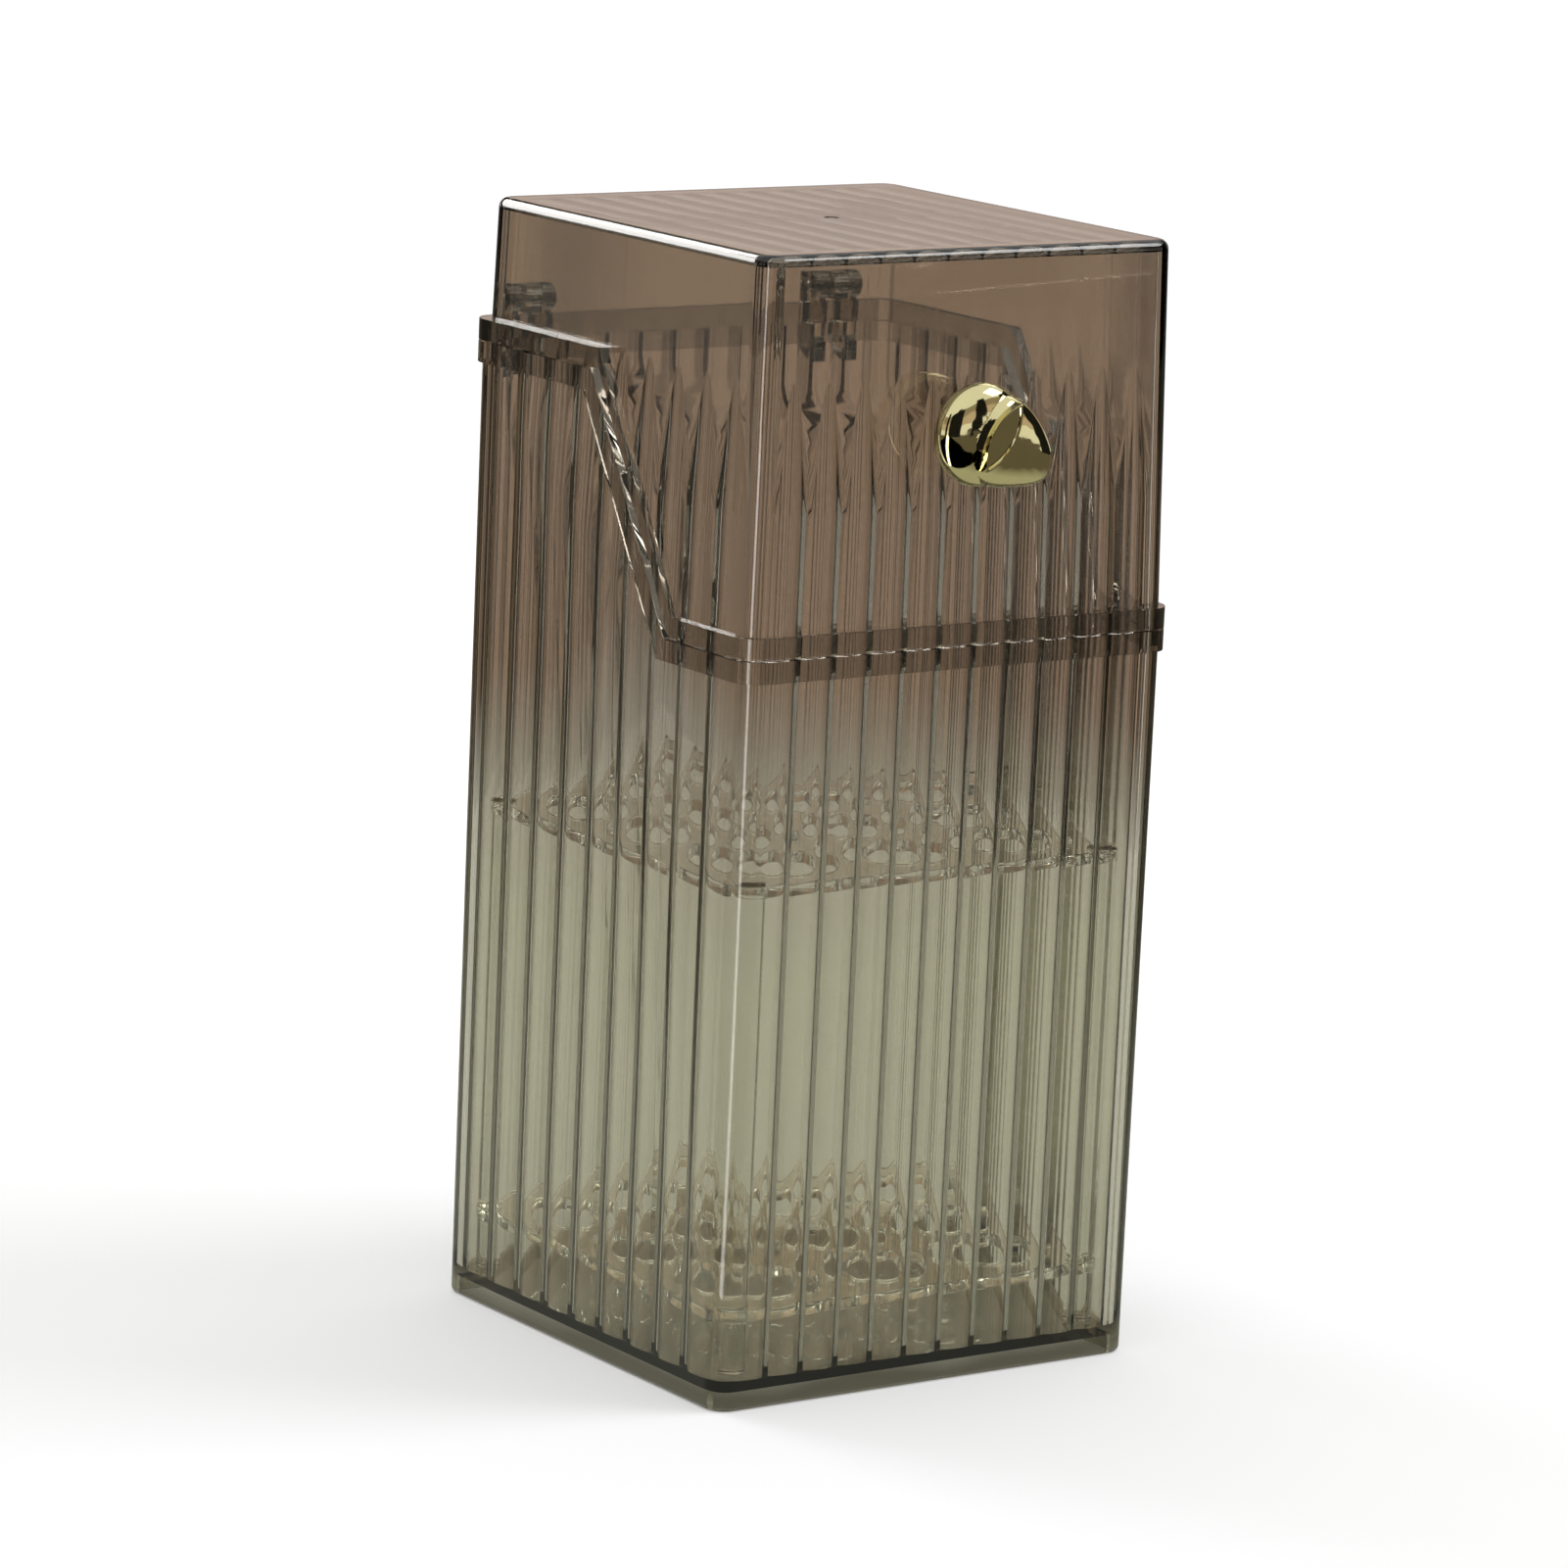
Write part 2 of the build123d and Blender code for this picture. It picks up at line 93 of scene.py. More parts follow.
# Flutes
FLUTE_LAND = 0.3 * MM
FLUTE_STEPS = 8
FLUTE_SHOULDER_Z = 186.0 * MM
FLUTE_TIP_Z = 214.0 * MM
FLUTE_TIP_SHARE = 0.1
FLUTE_TIP_DEPTH_SHARE = 0.01
FLUTE_TIP_STEPS = 9
TOP_FLUTE_MARGIN = 4.0 * MM
TOP_FLUTE_LIFT = 0.02 * MM
TOP_FLUTE_BLOCK = 2.0 * MM
GATE_MARK_RADIUS = 1.6 * MM
GATE_MARK_DEPTH = 0.3 * MM
GATE_NUB_SHARE = 0.45
GATE_NUB_LOW = 0.2

# Hinges
HINGE_AXIS_Z = 217.5 * MM
HINGE_AXIS_Y = 55.782 * MM
HINGE_SPACING = 78.1 * MM
HINGE_WALL_GAP = 0.5 * MM
LUG_RADIUS = 3.0 * MM
LUG_WIDTH = 3.8 * MM
LUG_STEP = 4.15 * MM
LUG_ROOT_RISE = 2.0 * MM
LUG_NOTCH_RISE = 4.0 * MM
LUG_HEEL_RISE = 2.7 * MM
LUG_GUSSET_HEIGHT = 10.0 * MM
LUG_FLANGE_GAP = 0.3 * MM
WEB_HALF_HEIGHT = 2.9 * MM
PIN_RADIUS = 1.0 * MM
PIN_FIT = 0.05 * MM
PIN_SLACK = 0.02 * MM
PIN_ROUND = 0.5 * MM

# Knob: outlines in millimetres from its middle, in front view
KNOB_Z = 203.0 * MM
KNOB_STANDOFF = 4.5 * MM
KNOB_THICKNESS = 10.0 * MM
LOBE_X = -3.9
LOBE_RISE = 0.2
LOBE_RADIUS = 11.6
LOBE_POINTS = 14
LOBE_HALF = 4.6 * MM
LOBE_BACK = 0.8 * MM
PETAL_HALF = 5.2 * MM
PETAL_FORWARD = 0.6 * MM
PETAL_OUTLINE = (
    (-2.0, 9.4),
    (3.5, 8.9),
    (8.2, 5.4),
    (11.6, 0.3),
    (13.6, -4.2),
    (13.2, -8.0),
    (10.8, -10.6),
    (6.5, -11.3),
    (0.5, -11.2),
    (-4.8, -10.6),
    (-8.6, -7.2),
    (-10.3, -2.8),
    (-9.0, 2.4),
    (-5.9, 6.8),
)
PEBBLE_RINGS = ((0.62, 0.88), (1.0, 0.55))
FACET_LENGTH = 16.0 * MM
FACET_WIDTH = 6.0 * MM
FACET_THICKNESS = 5.0 * MM
FACET_RIM = 0.45 * MM
FACET_RIM_SLOPE = 0.15 * MM
FACET_DEPTH = 0.45 * MM
FACET_ROUND = 0.12 * MM
FACET_TILT = math.radians(30.4)
FACET_LEAN = math.radians(-2)
FACET_X = -2.7 * MM
FACET_RISE = 0.4 * MM
KNOB_NECK_RADIUS = 3.6 * MM
KNOB_FOOT_RADIUS = 5.2 * MM
KNOB_FOOT_THICKNESS = 1.2 * MM
KNOB_FOOT_ROUND = 0.3 * MM

# Knob screw
SCREW_RADIUS = 1.5 * MM
SCREW_HOLE_RADIUS = 1.6 * MM
SCREW_HEAD_HEIGHT = 1.9 * MM
SCREW_HEAD_ROUND = 0.8 * MM
SCREW_SLOT_DEPTH = 0.8 * MM
SCREW_SLOT_HALF = 0.35 * MM
SCREW_SHANK_SUNK = 0.2 * MM

# Rack
RACK_CORNER_RADIUS = 4.0 * MM
BRUSH_HOLE_PITCH = 29.13 * MM
BRUSH_HOLE_RADIUS = 11.8 * MM
BRUSH_HOLE_SIDES = 64
POST_HOLE_SIDES = 32
POST_INSET = 3.3 * MM
POST_SLACK = 0.05 * MM
POST_FOOT_GAP = 0.03 * MM
POST_TOP_GAP = 0.02 * MM
POST_ROUND = 0.4 * MM

# Share of the smoke tint's lightness on each part of the two mouldings, which are one plastic:
# painted shade darkens the flange and painted light pales the hinge lugs
WALL_TINT = 1.0
FLANGE_PAINTED_SHADE = 0.45
LUG_PAINTED_LIGHT = 1.5
# How far the painted shade and light of the smoke colour's height gradient wander up and down
PAINTED_SHADE_WAVE = 12.0 * MM

# Surfaces
PLASTIC_IOR = 1.49
SURFACE_INPUTS = ("Ripple Scale", "Speck Scale", "Roughness Low", "Roughness High")
SURFACE_DEFAULTS = (60.0, 900.0, 0.02, 0.06)
# Sockets of the Mix node that share their names with others
MIX_FIRST_COLOUR = 6
MIX_SECOND_COLOUR = 7
MIX_COLOUR_RESULT = 2

# Stage: lengths in metres, angles in degrees where no function turns them into radians
WHITE = (1, 1, 1)
WARM_WHITE = (1, 0.98, 0.95)
GLOSS_ONLY = ("camera", "diffuse", "transmission", "shadow")
PLASTIC_ONLY = ("camera", "diffuse", "glossy", "shadow")
WORLD_LEVELS = (0.6, 1.0)
FLOOR_RADIUS = 6.0
FLOOR_LEVELS = (0.28, 0.5)
WALL_RADIUS = 2.6
WALL_LOW_Z = 0.45
WALL_TOP_Z = 1.7
WALL_LOW_COLOUR = (0.66, 0.53, 0.46)
WALL_TOP_COLOUR = (0.36, 0.30, 0.24)
BAND_RADIUS = 2.4
BAND_LOW_Z = 0.7
BAND_TOP_Z = 2.0
BAND_REAR_Y = 0.8
BAND_STRENGTH = 8
SCREEN_RADIUS = 0.58
SCREEN_HEIGHT = 0.4
SCREEN_REACH = math.radians(68)
SCREEN_STREAK_SCALE = 9
SCREEN_DARK = (0.03, 0.02, 0.015)
SCREEN_LIGHT = (1.0, 0.76, 0.58)
SCREEN_FOOT = (0.95, 0.95, 0.93)
SCREEN_FOOT_HEIGHT = 0.035
CARPET_RADIUS = 4.0
CARPET_Z = 0.001
CARPET_NEAR_COLOUR = (0.50, 0.50, 0.42)
CARPET_FAR_COLOUR = (0.15, 0.13, 0.10)
STRIP_AZIMUTH = math.radians(-55)
STRIP_START = 0.15
STRIP_LENGTH = 3.6
STRIP_WIDTH = 1.2
STRIP_Z = 0.002
STRIP_SPREAD = 0.16
STRIP_STRENGTH = 8
CARD_FACING = Vector((-0.293, 0.803, 0.52))
CARD_ALONG = Vector((-0.87, 0, -0.49))
CARD_DISTANCE = 1.5
CARD_WIDTH = 0.35
CARD_LENGTH = 1.3
CARD_STRENGTH = 12
FLAG_THICKNESS = 0.01
FLAG_COUNT = 8
FLAG_DISTANCE = 2.2
FLAG_WIDTH = 0.46
FLAG_HEIGHT = 1.8
WIDE_FLAG_DISTANCE = 2.0
WIDE_FLAG_HEIGHT = 1.5
WIDE_FLAGS = (("wide_flag_left", -30, 1.7), ("wide_flag_right", 78, 1.5))
SLAT_COUNT = 10
SLAT_PITCH = 20
SLAT_WIDTH = 0.07
SLAT_HEIGHT = 0.085
LAMPS = (("key", (0.95, -0.55, 1.25), 0.7, 0.5, 9), ("rim", (-0.45, 1.25, 0.95), 0.7, 0.4, 6))

# Camera
CAMERA_AZIMUTH = math.radians(-35.0495)
CAMERA_ELEVATION = math.radians(11.4242)
CAMERA_ROLL = math.radians(2.5324)
CAMERA_DISTANCE = 1465.148 * MM
CAMERA_TARGET = Vector((-5.7789, 0.0, 119.0269)) * MM
CAMERA_LENS = 158.01
CAMERA_SENSOR = 36.0


def length_setting(name, description, default):
    """A length in metres that the sidebar shows in the scene's units."""
    return FloatProperty(
        name=name, description=description, default=default, unit="LENGTH", subtype="DISTANCE"
    )


def colour_setting(name, description, default):
    return FloatVectorProperty(
        name=name, description=description, default=default, subtype="COLOR"
    )


class BrushBoxShape(bpy.types.PropertyGroup):
    """Sizes that can be changed without a new frame."""

    front_flutes: IntProperty(
        name="Front flutes",
        description="Flutes across the front wall, the rear wall and the lid's top",
        default=11,
        min=3,
    )
    side_flutes: IntProperty(
        name="Side flutes", description="Flutes across each side wall", default=9, min=3
    )
    flute_depth: length_setting(
        "Flute depth", "How far each flute is cut into the inside of the wall", 1.2 * MM
    )
    edge_round: length_setting(
        "Edge round", "Width of the small rounds on the moulded edges", 0.45 * MM
    )
    tray_edge_round: length_setting(
        "Tray edge round", "Width of the rounds on the tray and its holes", 0.5 * MM
    )


class BrushBoxFinish(bpy.types.PropertyGroup):
    """Colours that can be changed."""

    # The three smoke colours paint shade and light into one plastic: painted shade darkens the top
    # and, most, the floor plate; painted light pales the lower walls
    smoke_top_painted_shade: colour_setting(
        "Smoke, upper part", "What one wall lets through high up", (0.56, 0.525, 0.485)
    )
    smoke_low_painted_light: colour_setting(
        "Smoke, lower part", "What one wall lets through low down", (0.67, 0.66, 0.56)
    )
    smoke_floor_painted_shade: colour_setting(
        "Smoke, floor", "What the floor plate lets through", (0.26, 0.25, 0.175)
    )
    gold: colour_setting("Gold", "Colour of the plated knob", (0.66, 0.60, 0.32))
    steel: colour_setting(
        "Steel", "Colour of the hinge pins and the knob screw", (0.62, 0.62, 0.63)
    )


# Picking and small steps


def select_whole_mesh():
    bpy.ops.mesh.select_all(action="SELECT")


def pick(piece):
    """Makes one piece the only selected and the active one."""
    bpy.ops.object.select_all(action="DESELECT")
    piece.select_set(True)
    bpy.context.view_layer.objects.active = piece


def edit(piece, kind="VERT"):
    """Opens a piece in edit mode with nothing selected."""
    pick(piece)
    bpy.ops.object.mode_set(mode="EDIT")
    bpy.ops.mesh.select_mode(type=kind)
    bpy.ops.mesh.select_all(action="DESELECT")


def leave():
    bpy.ops.object.mode_set(mode="OBJECT")


def choose(piece, kind, wanted):
    """Selects the vertices, edges or faces of the piece in edit mode for which wanted is true."""
    bpy.ops.mesh.select_mode(type=kind)
    bpy.ops.mesh.select_all(action="DESELECT")
    mesh = bmesh.from_edit_mesh(piece.data)
    items = {"VERT": mesh.verts, "EDGE": mesh.edges, "FACE": mesh.faces}[kind]
    for item in items:
        if wanted(item):
            item.select_set(True)
    bmesh.update_edit_mesh(piece.data)


def near(a, b):
    return abs(a - b) < HAIR


def upright(e):
    a, b = (v.co for v in e.verts)
    return near(a.x, b.x) and near(a.y, b.y)


def level_with(place, axis):
    """A test for edges and faces that lie at one place along an axis."""
    return lambda item: all(near(v.co[axis], place) for v in item.verts)


def apply_place(piece):
    pick(piece)
    bpy.ops.object.transform_apply(location=True, rotation=True, scale=True)


def take_new(name, scale=None):
    """Names the primitive that was just added and moves its place into its mesh."""
    piece = bpy.context.object
    piece.name = name
    if scale:
        piece.scale = scale
    apply_place(piece)
    return piece


def apply_modifiers(piece):
    pick(piece)
    for modifier in list(piece.modifiers):
        bpy.ops.object.modifier_apply(modifier=modifier.name)


def combine(piece, other, how):
    """Adds, cuts away or intersects another closed piece, which is then removed."""
    step = piece.modifiers.new("combine", "BOOLEAN")
    step.operation = how
    step.object = other
    step.solver = "EXACT"
    apply_modifiers(piece)
    bpy.data.objects.remove(other)
    if not piece.data.polygons:
        raise RuntimeError(f"{piece.name} is empty after {how}")


def copy_piece(piece, name, offset):
    """A copy with its own mesh, moved by offset."""
    pick(piece)
    bpy.ops.object.duplicate(linked=False)
    twin = bpy.context.object
    twin.name = name
    bpy.ops.transform.translate(value=offset)
    apply_place(twin)
    return twin


def copy_to_node(piece, name, node, copied_node):
    """A copy moved from the place of one CAD node to the place of another of the same shape."""
    return copy_piece(piece, name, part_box(copied_node)[0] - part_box(node)[0])


def copies_along_x(piece, places):
    """The piece, which stands at the first place, and its copies at the others."""
    pieces = [piece]
    for x in places[1:]:
        pieces.append(copy_piece(piece, f"{piece.name}_copy", (x - places[0], 0, 0)))
    return pieces


def join(pieces):
    pick(pieces[0])
    for piece in pieces[1:]:
        piece.select_set(True)
    bpy.ops.object.join()
    return bpy.context.object


def round_edges(piece, width, segments=3, angle=40):
    """Rounds every edge sharper than angle."""
    bevel = piece.modifiers.new("edges", "BEVEL")
    bevel.width = width
    bevel.segments = segments
    bevel.limit_method = "ANGLE"
    bevel.angle_limit = math.radians(angle)
    bevel.use_clamp_overlap = True
    apply_modifiers(piece)


def smooth(piece, angle=35):
    """Shades the rounds smooth and lets the flat faces keep their own normals."""
    pick(piece)
    bpy.ops.object.shade_smooth_by_angle(angle=math.radians(angle))
    weighted = piece.modifiers.new("normals", "WEIGHTED_NORMAL")
    weighted.keep_sharp = True
    apply_modifiers(piece)


def clean(piece):
    """Merges doubled points and turns all faces outwards."""
    edit(piece)
    select_whole_mesh()
    bpy.ops.mesh.remove_doubles(threshold=0.1 * HAIR)
    bpy.ops.mesh.normals_make_consistent(inside=False)
    volume = bmesh.from_edit_mesh(piece.data).calc_volume(signed=True)
    if volume < 0:
        bpy.ops.mesh.flip_normals()
    leave()


def slice_through(place, normal):
    """Cuts new edges where a plane crosses the piece in edit mode."""
    select_whole_mesh()
    bpy.ops.mesh.bisect(plane_co=place, plane_no=normal)


def mark_painted_shade_and_light(piece):
    """Marks the faces of the flange with painted shade, darker than the wall, and the hinge lugs
    with painted light, paler; the plastic itself is one tint.
    """
    wall = RIM_WIDTH / 2
    mark = piece.data.attributes.new("tint", "FLOAT", "FACE")
    for face in piece.data.polygons:
        x, y, z = face.center
        proud = max(abs(x), abs(y)) - wall
        tint = WALL_TINT
        if y > wall + FLANGE_PROUD + HAIR:
            tint = LUG_PAINTED_LIGHT
        elif proud > 0.5 * FLANGE_PROUD and z > FRONT_SEAM_Z - 2 * FLANGE_HEIGHT:
            tint = FLANGE_PAINTED_SHADE
        mark.data[face.index].value = tint


# Solids that several pieces use


def add_block(name, low, high):
    bpy.ops.object.select_all(action="DESELECT")
    low, high = Vector(low), Vector(high)
    bpy.ops.mesh.primitive_cube_add(size=1, location=(low + high) / 2, scale=high - low)
    return take_new(name)


def add_rounded_block(name, width, radius, z_low, z_high, top_width=None, segments=8):
    """A square block with rounded upright edges, whose top may be wider or narrower."""
    half = width / 2
    block = add_block(name, (-half, -half, z_low), (half, half, z_high))
    edit(block)
    choose(block, "EDGE", upright)
    bpy.ops.mesh.bevel(offset=radius, segments=segments, affect="EDGES")
    if top_width:
        share = top_width / width
        choose(block, "VERT", lambda v: near(v.co.z, z_high))
        bpy.ops.transform.resize(value=(share, share, 1), center_override=(0, 0, z_high))
    leave()
    return block


def add_rod(name, radius, start, end, sides=48):
    """A round rod between two points that differ along one axis."""
    start, end = Vector(start), Vector(end)
    along = end - start
    bpy.ops.object.select_all(action="DESELECT")
    bpy.ops.mesh.primitive_cylinder_add(
        vertices=sides,
        radius=radius,
        depth=along.length,
        location=(start + end) / 2,
        rotation=along.to_track_quat("Z", "Y").to_euler(),
    )
    return take_new(name)


def add_rod_along_y(name, radius, start, end, x=0, z=KNOB_Z, sides=48):
    return add_rod(name, radius, (x, start, z), (x, end, z), sides=sides)


def knee_y(y, offset):
    """Where a corner of the seam lies once the seam is moved up and forwards by offset."""
    run = SLOPE_FRONT_Y - SLOPE_REAR_Y
    fall = FRONT_SEAM_Z - REAR_SEAM_Z
    length = math.hypot(run, fall)
    return y + offset * fall / length + run * offset * (1 + run / length) / fall


def add_seam_sheet(name, offset):
    """The seam as a bent sheet, facing up, moved up and forwards by offset."""
    bpy.ops.object.select_all(action="DESELECT")
    front_y = knee_y(SLOPE_FRONT_Y, offset)
    rear_y = knee_y(SLOPE_REAR_Y, offset)
    length = front_y + FAR
    bpy.ops.mesh.primitive_plane_add(
        size=1, location=(0, front_y - length / 2, FRONT_SEAM_Z + offset)
    )
    sheet = take_new(name, scale=(2 * FAR, length, 1))
    edit(sheet)
    steps = (
        (front_y, (0, rear_y - front_y, REAR_SEAM_Z - FRONT_SEAM_Z)),
        (rear_y, (0, FAR - rear_y, 0)),
    )
    for y, move in steps:
        choose(sheet, "EDGE", level_with(y, 1))
        bpy.ops.mesh.extrude_region_move(TRANSFORM_OT_translate={"value": move})
    select_whole_mesh()
    bpy.ops.mesh.normals_make_consistent(inside=False)
    if sum(face.normal.z for face in bmesh.from_edit_mesh(sheet.data).faces) < 0:
        bpy.ops.mesh.flip_normals()
    leave()
    return sheet


def add_seam_side(name, offset, height):
    """All the space above the seam, or below it where height is negative."""
    side = add_seam_sheet(name, offset)
    edit(side)
    select_whole_mesh()
    bpy.ops.mesh.extrude_region_move(TRANSFORM_OT_translate={"value": (0, 0, height)})
    leave()
    clean(side)
    return side


def add_flange(name, low_offset, high_offset):
    """A solid slab that follows the seam, as wide as the flange."""
    slab = add_seam_sheet(name, low_offset)
    thick = slab.modifiers.new("thick", "SOLIDIFY")
    thick.thickness = high_offset - low_offset
    thick.offset = 1
    thick.use_even_offset = True
    apply_modifiers(slab)
    outside = add_rounded_block(
        "outside",
        RIM_WIDTH + 2 * FLANGE_PROUD,
        CORNER_RADIUS + FLANGE_PROUD,
        FRONT_SEAM_Z - FLANGE_REACH,
        REAR_SEAM_Z + FLANGE_REACH,
    )
    combine(outside, slab, "INTERSECT")
    outside.name = name
    return outside


def flute_points(pitch, depth):
    """Points across one flute: distance from its middle and depth."""
    half = (pitch - FLUTE_LAND) / 2
    radius = (half**2 + depth**2) / (2 * depth)
    reach = math.asin(half / radius)
    points = []
    for step in range(FLUTE_STEPS + 1):
        angle = reach * (2 * step / FLUTE_STEPS - 1)
        points.append((radius * math.sin(angle), radius * math.cos(angle) - radius + depth))
    return points


def flute_columns(run, count, depth):
    """Every upright line across a wall: its place, its flute's middle and its depth."""
    pitch = run / count
    columns = []
    for index in range(count):
        middle = -run / 2 + (index + 0.5) * pitch
        for along, out in flute_points(pitch, depth):
            columns.append((middle + along, middle, out))
    return columns


def flute_moves(core, half, walls, levels):
    """The move of each point on the fluted walls, with the points that share it."""
    moves = {}
    mesh = bmesh.from_edit_mesh(core.data)
    mesh.verts.ensure_lookup_table()
    for vertex in mesh.verts:
        level = next(one for one in levels if near(one[0], vertex.co.z))
        for axis, columns in walls:
            across = vertex.co[1 - axis]
            if not near(abs(across), half):
                continue
            for place, middle, out in columns:
                if not near(place, vertex.co[axis]):
                    continue
                move = [0.0, 0.0, 0.0]
                move[axis] = (place - middle) * (level[2] - 1)
                move[1 - axis] = math.copysign(out * level[3], across)
                moves.setdefault(tuple(move), set()).add(vertex.index)
                break
    return moves


def add_fluted_core(name, width, radius, levels):
    """The hollow inside a fluted moulding.

    Each level is a height, the width there, and the shares of the flutes' full width and depth.
    """
    shape = bpy.context.scene.brush_box_shape
    heights = [level[0] for level in levels]
    core = add_rounded_block(name, width, radius, heights[0], heights[-1], segments=6)
    edit(core)
    choose(core, "FACE", lambda f: abs(f.normal.z) > 0.9)
    bpy.ops.mesh.delete(type="ONLY_FACE")
    for z in heights[1:-1]:
        slice_through((0, 0, z), (0, 0, 1))
    walls = []
    for axis, count in ((0, shape.front_flutes), (1, shape.side_flutes)):
        columns = flute_columns(width - 2 * radius, count, shape.flute_depth)
        normal = Vector((1 - axis, axis, 0))
        for place, _, _ in columns:
            slice_through(normal * place, normal)
        walls.append((axis, columns))
    for move, members in flute_moves(core, width / 2, walls, levels).items():
        choose(core, "VERT", lambda v: v.index in members)
        bpy.ops.transform.translate(value=move)
    for z, level_width, _, _ in levels:
        share = level_width / width
        choose(core, "VERT", lambda v: near(v.co.z, z))
        bpy.ops.transform.resize(value=(share, share, 1), center_override=(0, 0, z))
    select_whole_mesh()
    bpy.ops.mesh.remove_doubles(threshold=0.5 * HAIR)
    bpy.ops.mesh.fill_holes(sides=0)
    leave()
    clean(core)
    return core


# Hinge lugs


def add_hinge_rod(name, radius, x, reach):
    """A rod on the hinge's axis that reaches as far to each side of x."""
    start = (x - reach, HINGE_AXIS_Y, HINGE_AXIS_Z)
    end = (x + reach, HINGE_AXIS_Y, HINGE_AXIS_Z)
    return add_rod(name, radius, start, end)


def add_barrel_and_bore(lug, x, bore_radius, *others):
    """Joins the round barrel, then the other solids, and drills the hole for the pin."""
    combine(lug, add_hinge_rod("barrel", LUG_RADIUS, x, LUG_WIDTH / 2), "UNION")
    for other in others:
        combine(lug, other, "UNION")
    combine(lug, add_hinge_rod("bore", bore_radius, x, LUG_WIDTH), "DIFFERENCE")
    return lug


def add_body_lug(x):
    """An upright lug with a gusset below it and a heel that stops the lid."""
    left, right = x - LUG_WIDTH / 2, x + LUG_WIDTH / 2
    wall_y = RIM_WIDTH / 2 - BODY_WALL / 2
    front_y = RIM_WIDTH / 2 + FLANGE_PROUD + LUG_FLANGE_GAP
    rear_y = HINGE_AXIS_Y + LUG_RADIUS
    seam_z = REAR_SEAM_Z - SEAM_GAP / 2
    low_z = seam_z - LUG_GUSSET_HEIGHT
    lug = add_block("lug", (left, wall_y, low_z), (right, rear_y, seam_z + LUG_ROOT_RISE))
    edit(lug)
    select_whole_mesh()
    bpy.ops.mesh.bisect(
        plane_co=(x, wall_y, low_z), plane_no=(0, 1, -1), clear_outer=True, use_fill=True
    )
    leave()
    notch_low = (x - LUG_WIDTH, wall_y - PAST, seam_z)
    notch_high = (x + LUG_WIDTH, front_y, seam_z + LUG_NOTCH_RISE)
    plate_low, plate_high = (left, front_y, seam_z - PAST), (right, rear_y, HINGE_AXIS_Z)
    plate = add_block("plate", plate_low, plate_high)
    combine(lug, add_block("notch", notch_low, notch_high), "DIFFERENCE")
    combine(lug, plate, "UNION")
    heel_low = (left, HINGE_AXIS_Y, HINGE_AXIS_Z)
    heel = add_block("heel", heel_low, (right, rear_y, HINGE_AXIS_Z + LUG_HEEL_RISE))
    return add_barrel_and_bore(lug, x, PIN_RADIUS, heel)


def add_lid_lug(x):
    """The lid's lug, carried on a web from the rear wall."""
    half = LUG_WIDTH / 2
    wall_y = HINGE_AXIS_Y - LUG_RADIUS - HINGE_WALL_GAP - LID_WALL / 2
    low = (x - half, wall_y, HINGE_AXIS_Z - WEB_HALF_HEIGHT)
    high = (x + half, HINGE_AXIS_Y, HINGE_AXIS_Z + WEB_HALF_HEIGHT)
    return add_barrel_and_bore(add_block("lug", low, high), x, PIN_RADIUS + PIN_FIT)


# Pieces


def finish_moulding(moulding, first_lug, places):
    """Joins the hinge lugs, of which the first stands at the first place, and rounds the edges."""
    for lug in copies_along_x(first_lug, places):
        combine(moulding, lug, "UNION")
    clean(moulding)
    round_edges(moulding, bpy.context.scene.brush_box_shape.edge_round)
    smooth(moulding)
    mark_painted_shade_and_light(moulding)
    return moulding


def add_outer_block(name, width, z_low, z_high, top_width, round_z, radius, segments):
    """The outside of a moulding, with a round at its bottom or top."""
    block = add_rounded_block(name, width, CORNER_RADIUS, z_low, z_high, top_width=top_width)
    edit(block)
    choose(block, "EDGE", level_with(round_z, 2))
    bpy.ops.mesh.bevel(offset=radius, segments=segments, affect="EDGES")
    leave()
    return block


def add_body():
    """The fluted box, open at its slanted mouth, on a recessed floor with a skirt."""
    top_z = REAR_SEAM_Z + BODY_SPARE
    top_width = BASE_WIDTH + 2 * BODY_SPREAD * top_z
    body = add_outer_block(
        "body_moulding", BASE_WIDTH, 0, top_z, top_width, 0, BOTTOM_ROUND, segments=4
    )
    combine(body, add_flange("flange", -SEAM_GAP / 2 - FLANGE_HEIGHT, PAST), "UNION")
    combine(body, add_seam_side("above", -SEAM_GAP / 2, 2 * FAR), "DIFFERENCE")
    cavity_width = BASE_WIDTH - 2 * BODY_WALL
    levels = [(FLOOR_TOP_Z, cavity_width, 1, 1), (BOX_HEIGHT, cavity_width, 1, 1)]
    core = add_fluted_core("hollow", cavity_width, CORNER_RADIUS - BODY_WALL, levels)
    combine(body, core, "DIFFERENCE")
    recess_width = BASE_WIDTH - 2 * SKIRT_WALL
    recess_radius = CORNER_RADIUS - SKIRT_WALL
    recess = add_rounded_block(
        "recess", recess_width, recess_radius, -SKIRT_HEIGHT, SKIRT_HEIGHT
    )
    combine(body, recess, "DIFFERENCE")
    places = []
    for middle in (-HINGE_SPACING / 2, HINGE_SPACING / 2):
        places += [middle - LUG_STEP, middle + LUG_STEP]
    return finish_moulding(body, add_body_lug(places[0]), places)


def lid_wall_y():
    """The front of the lid at the knob's height."""
    return -(LID_TOP_WIDTH / 2 + LID_SPREAD * (BOX_HEIGHT - KNOB_Z))


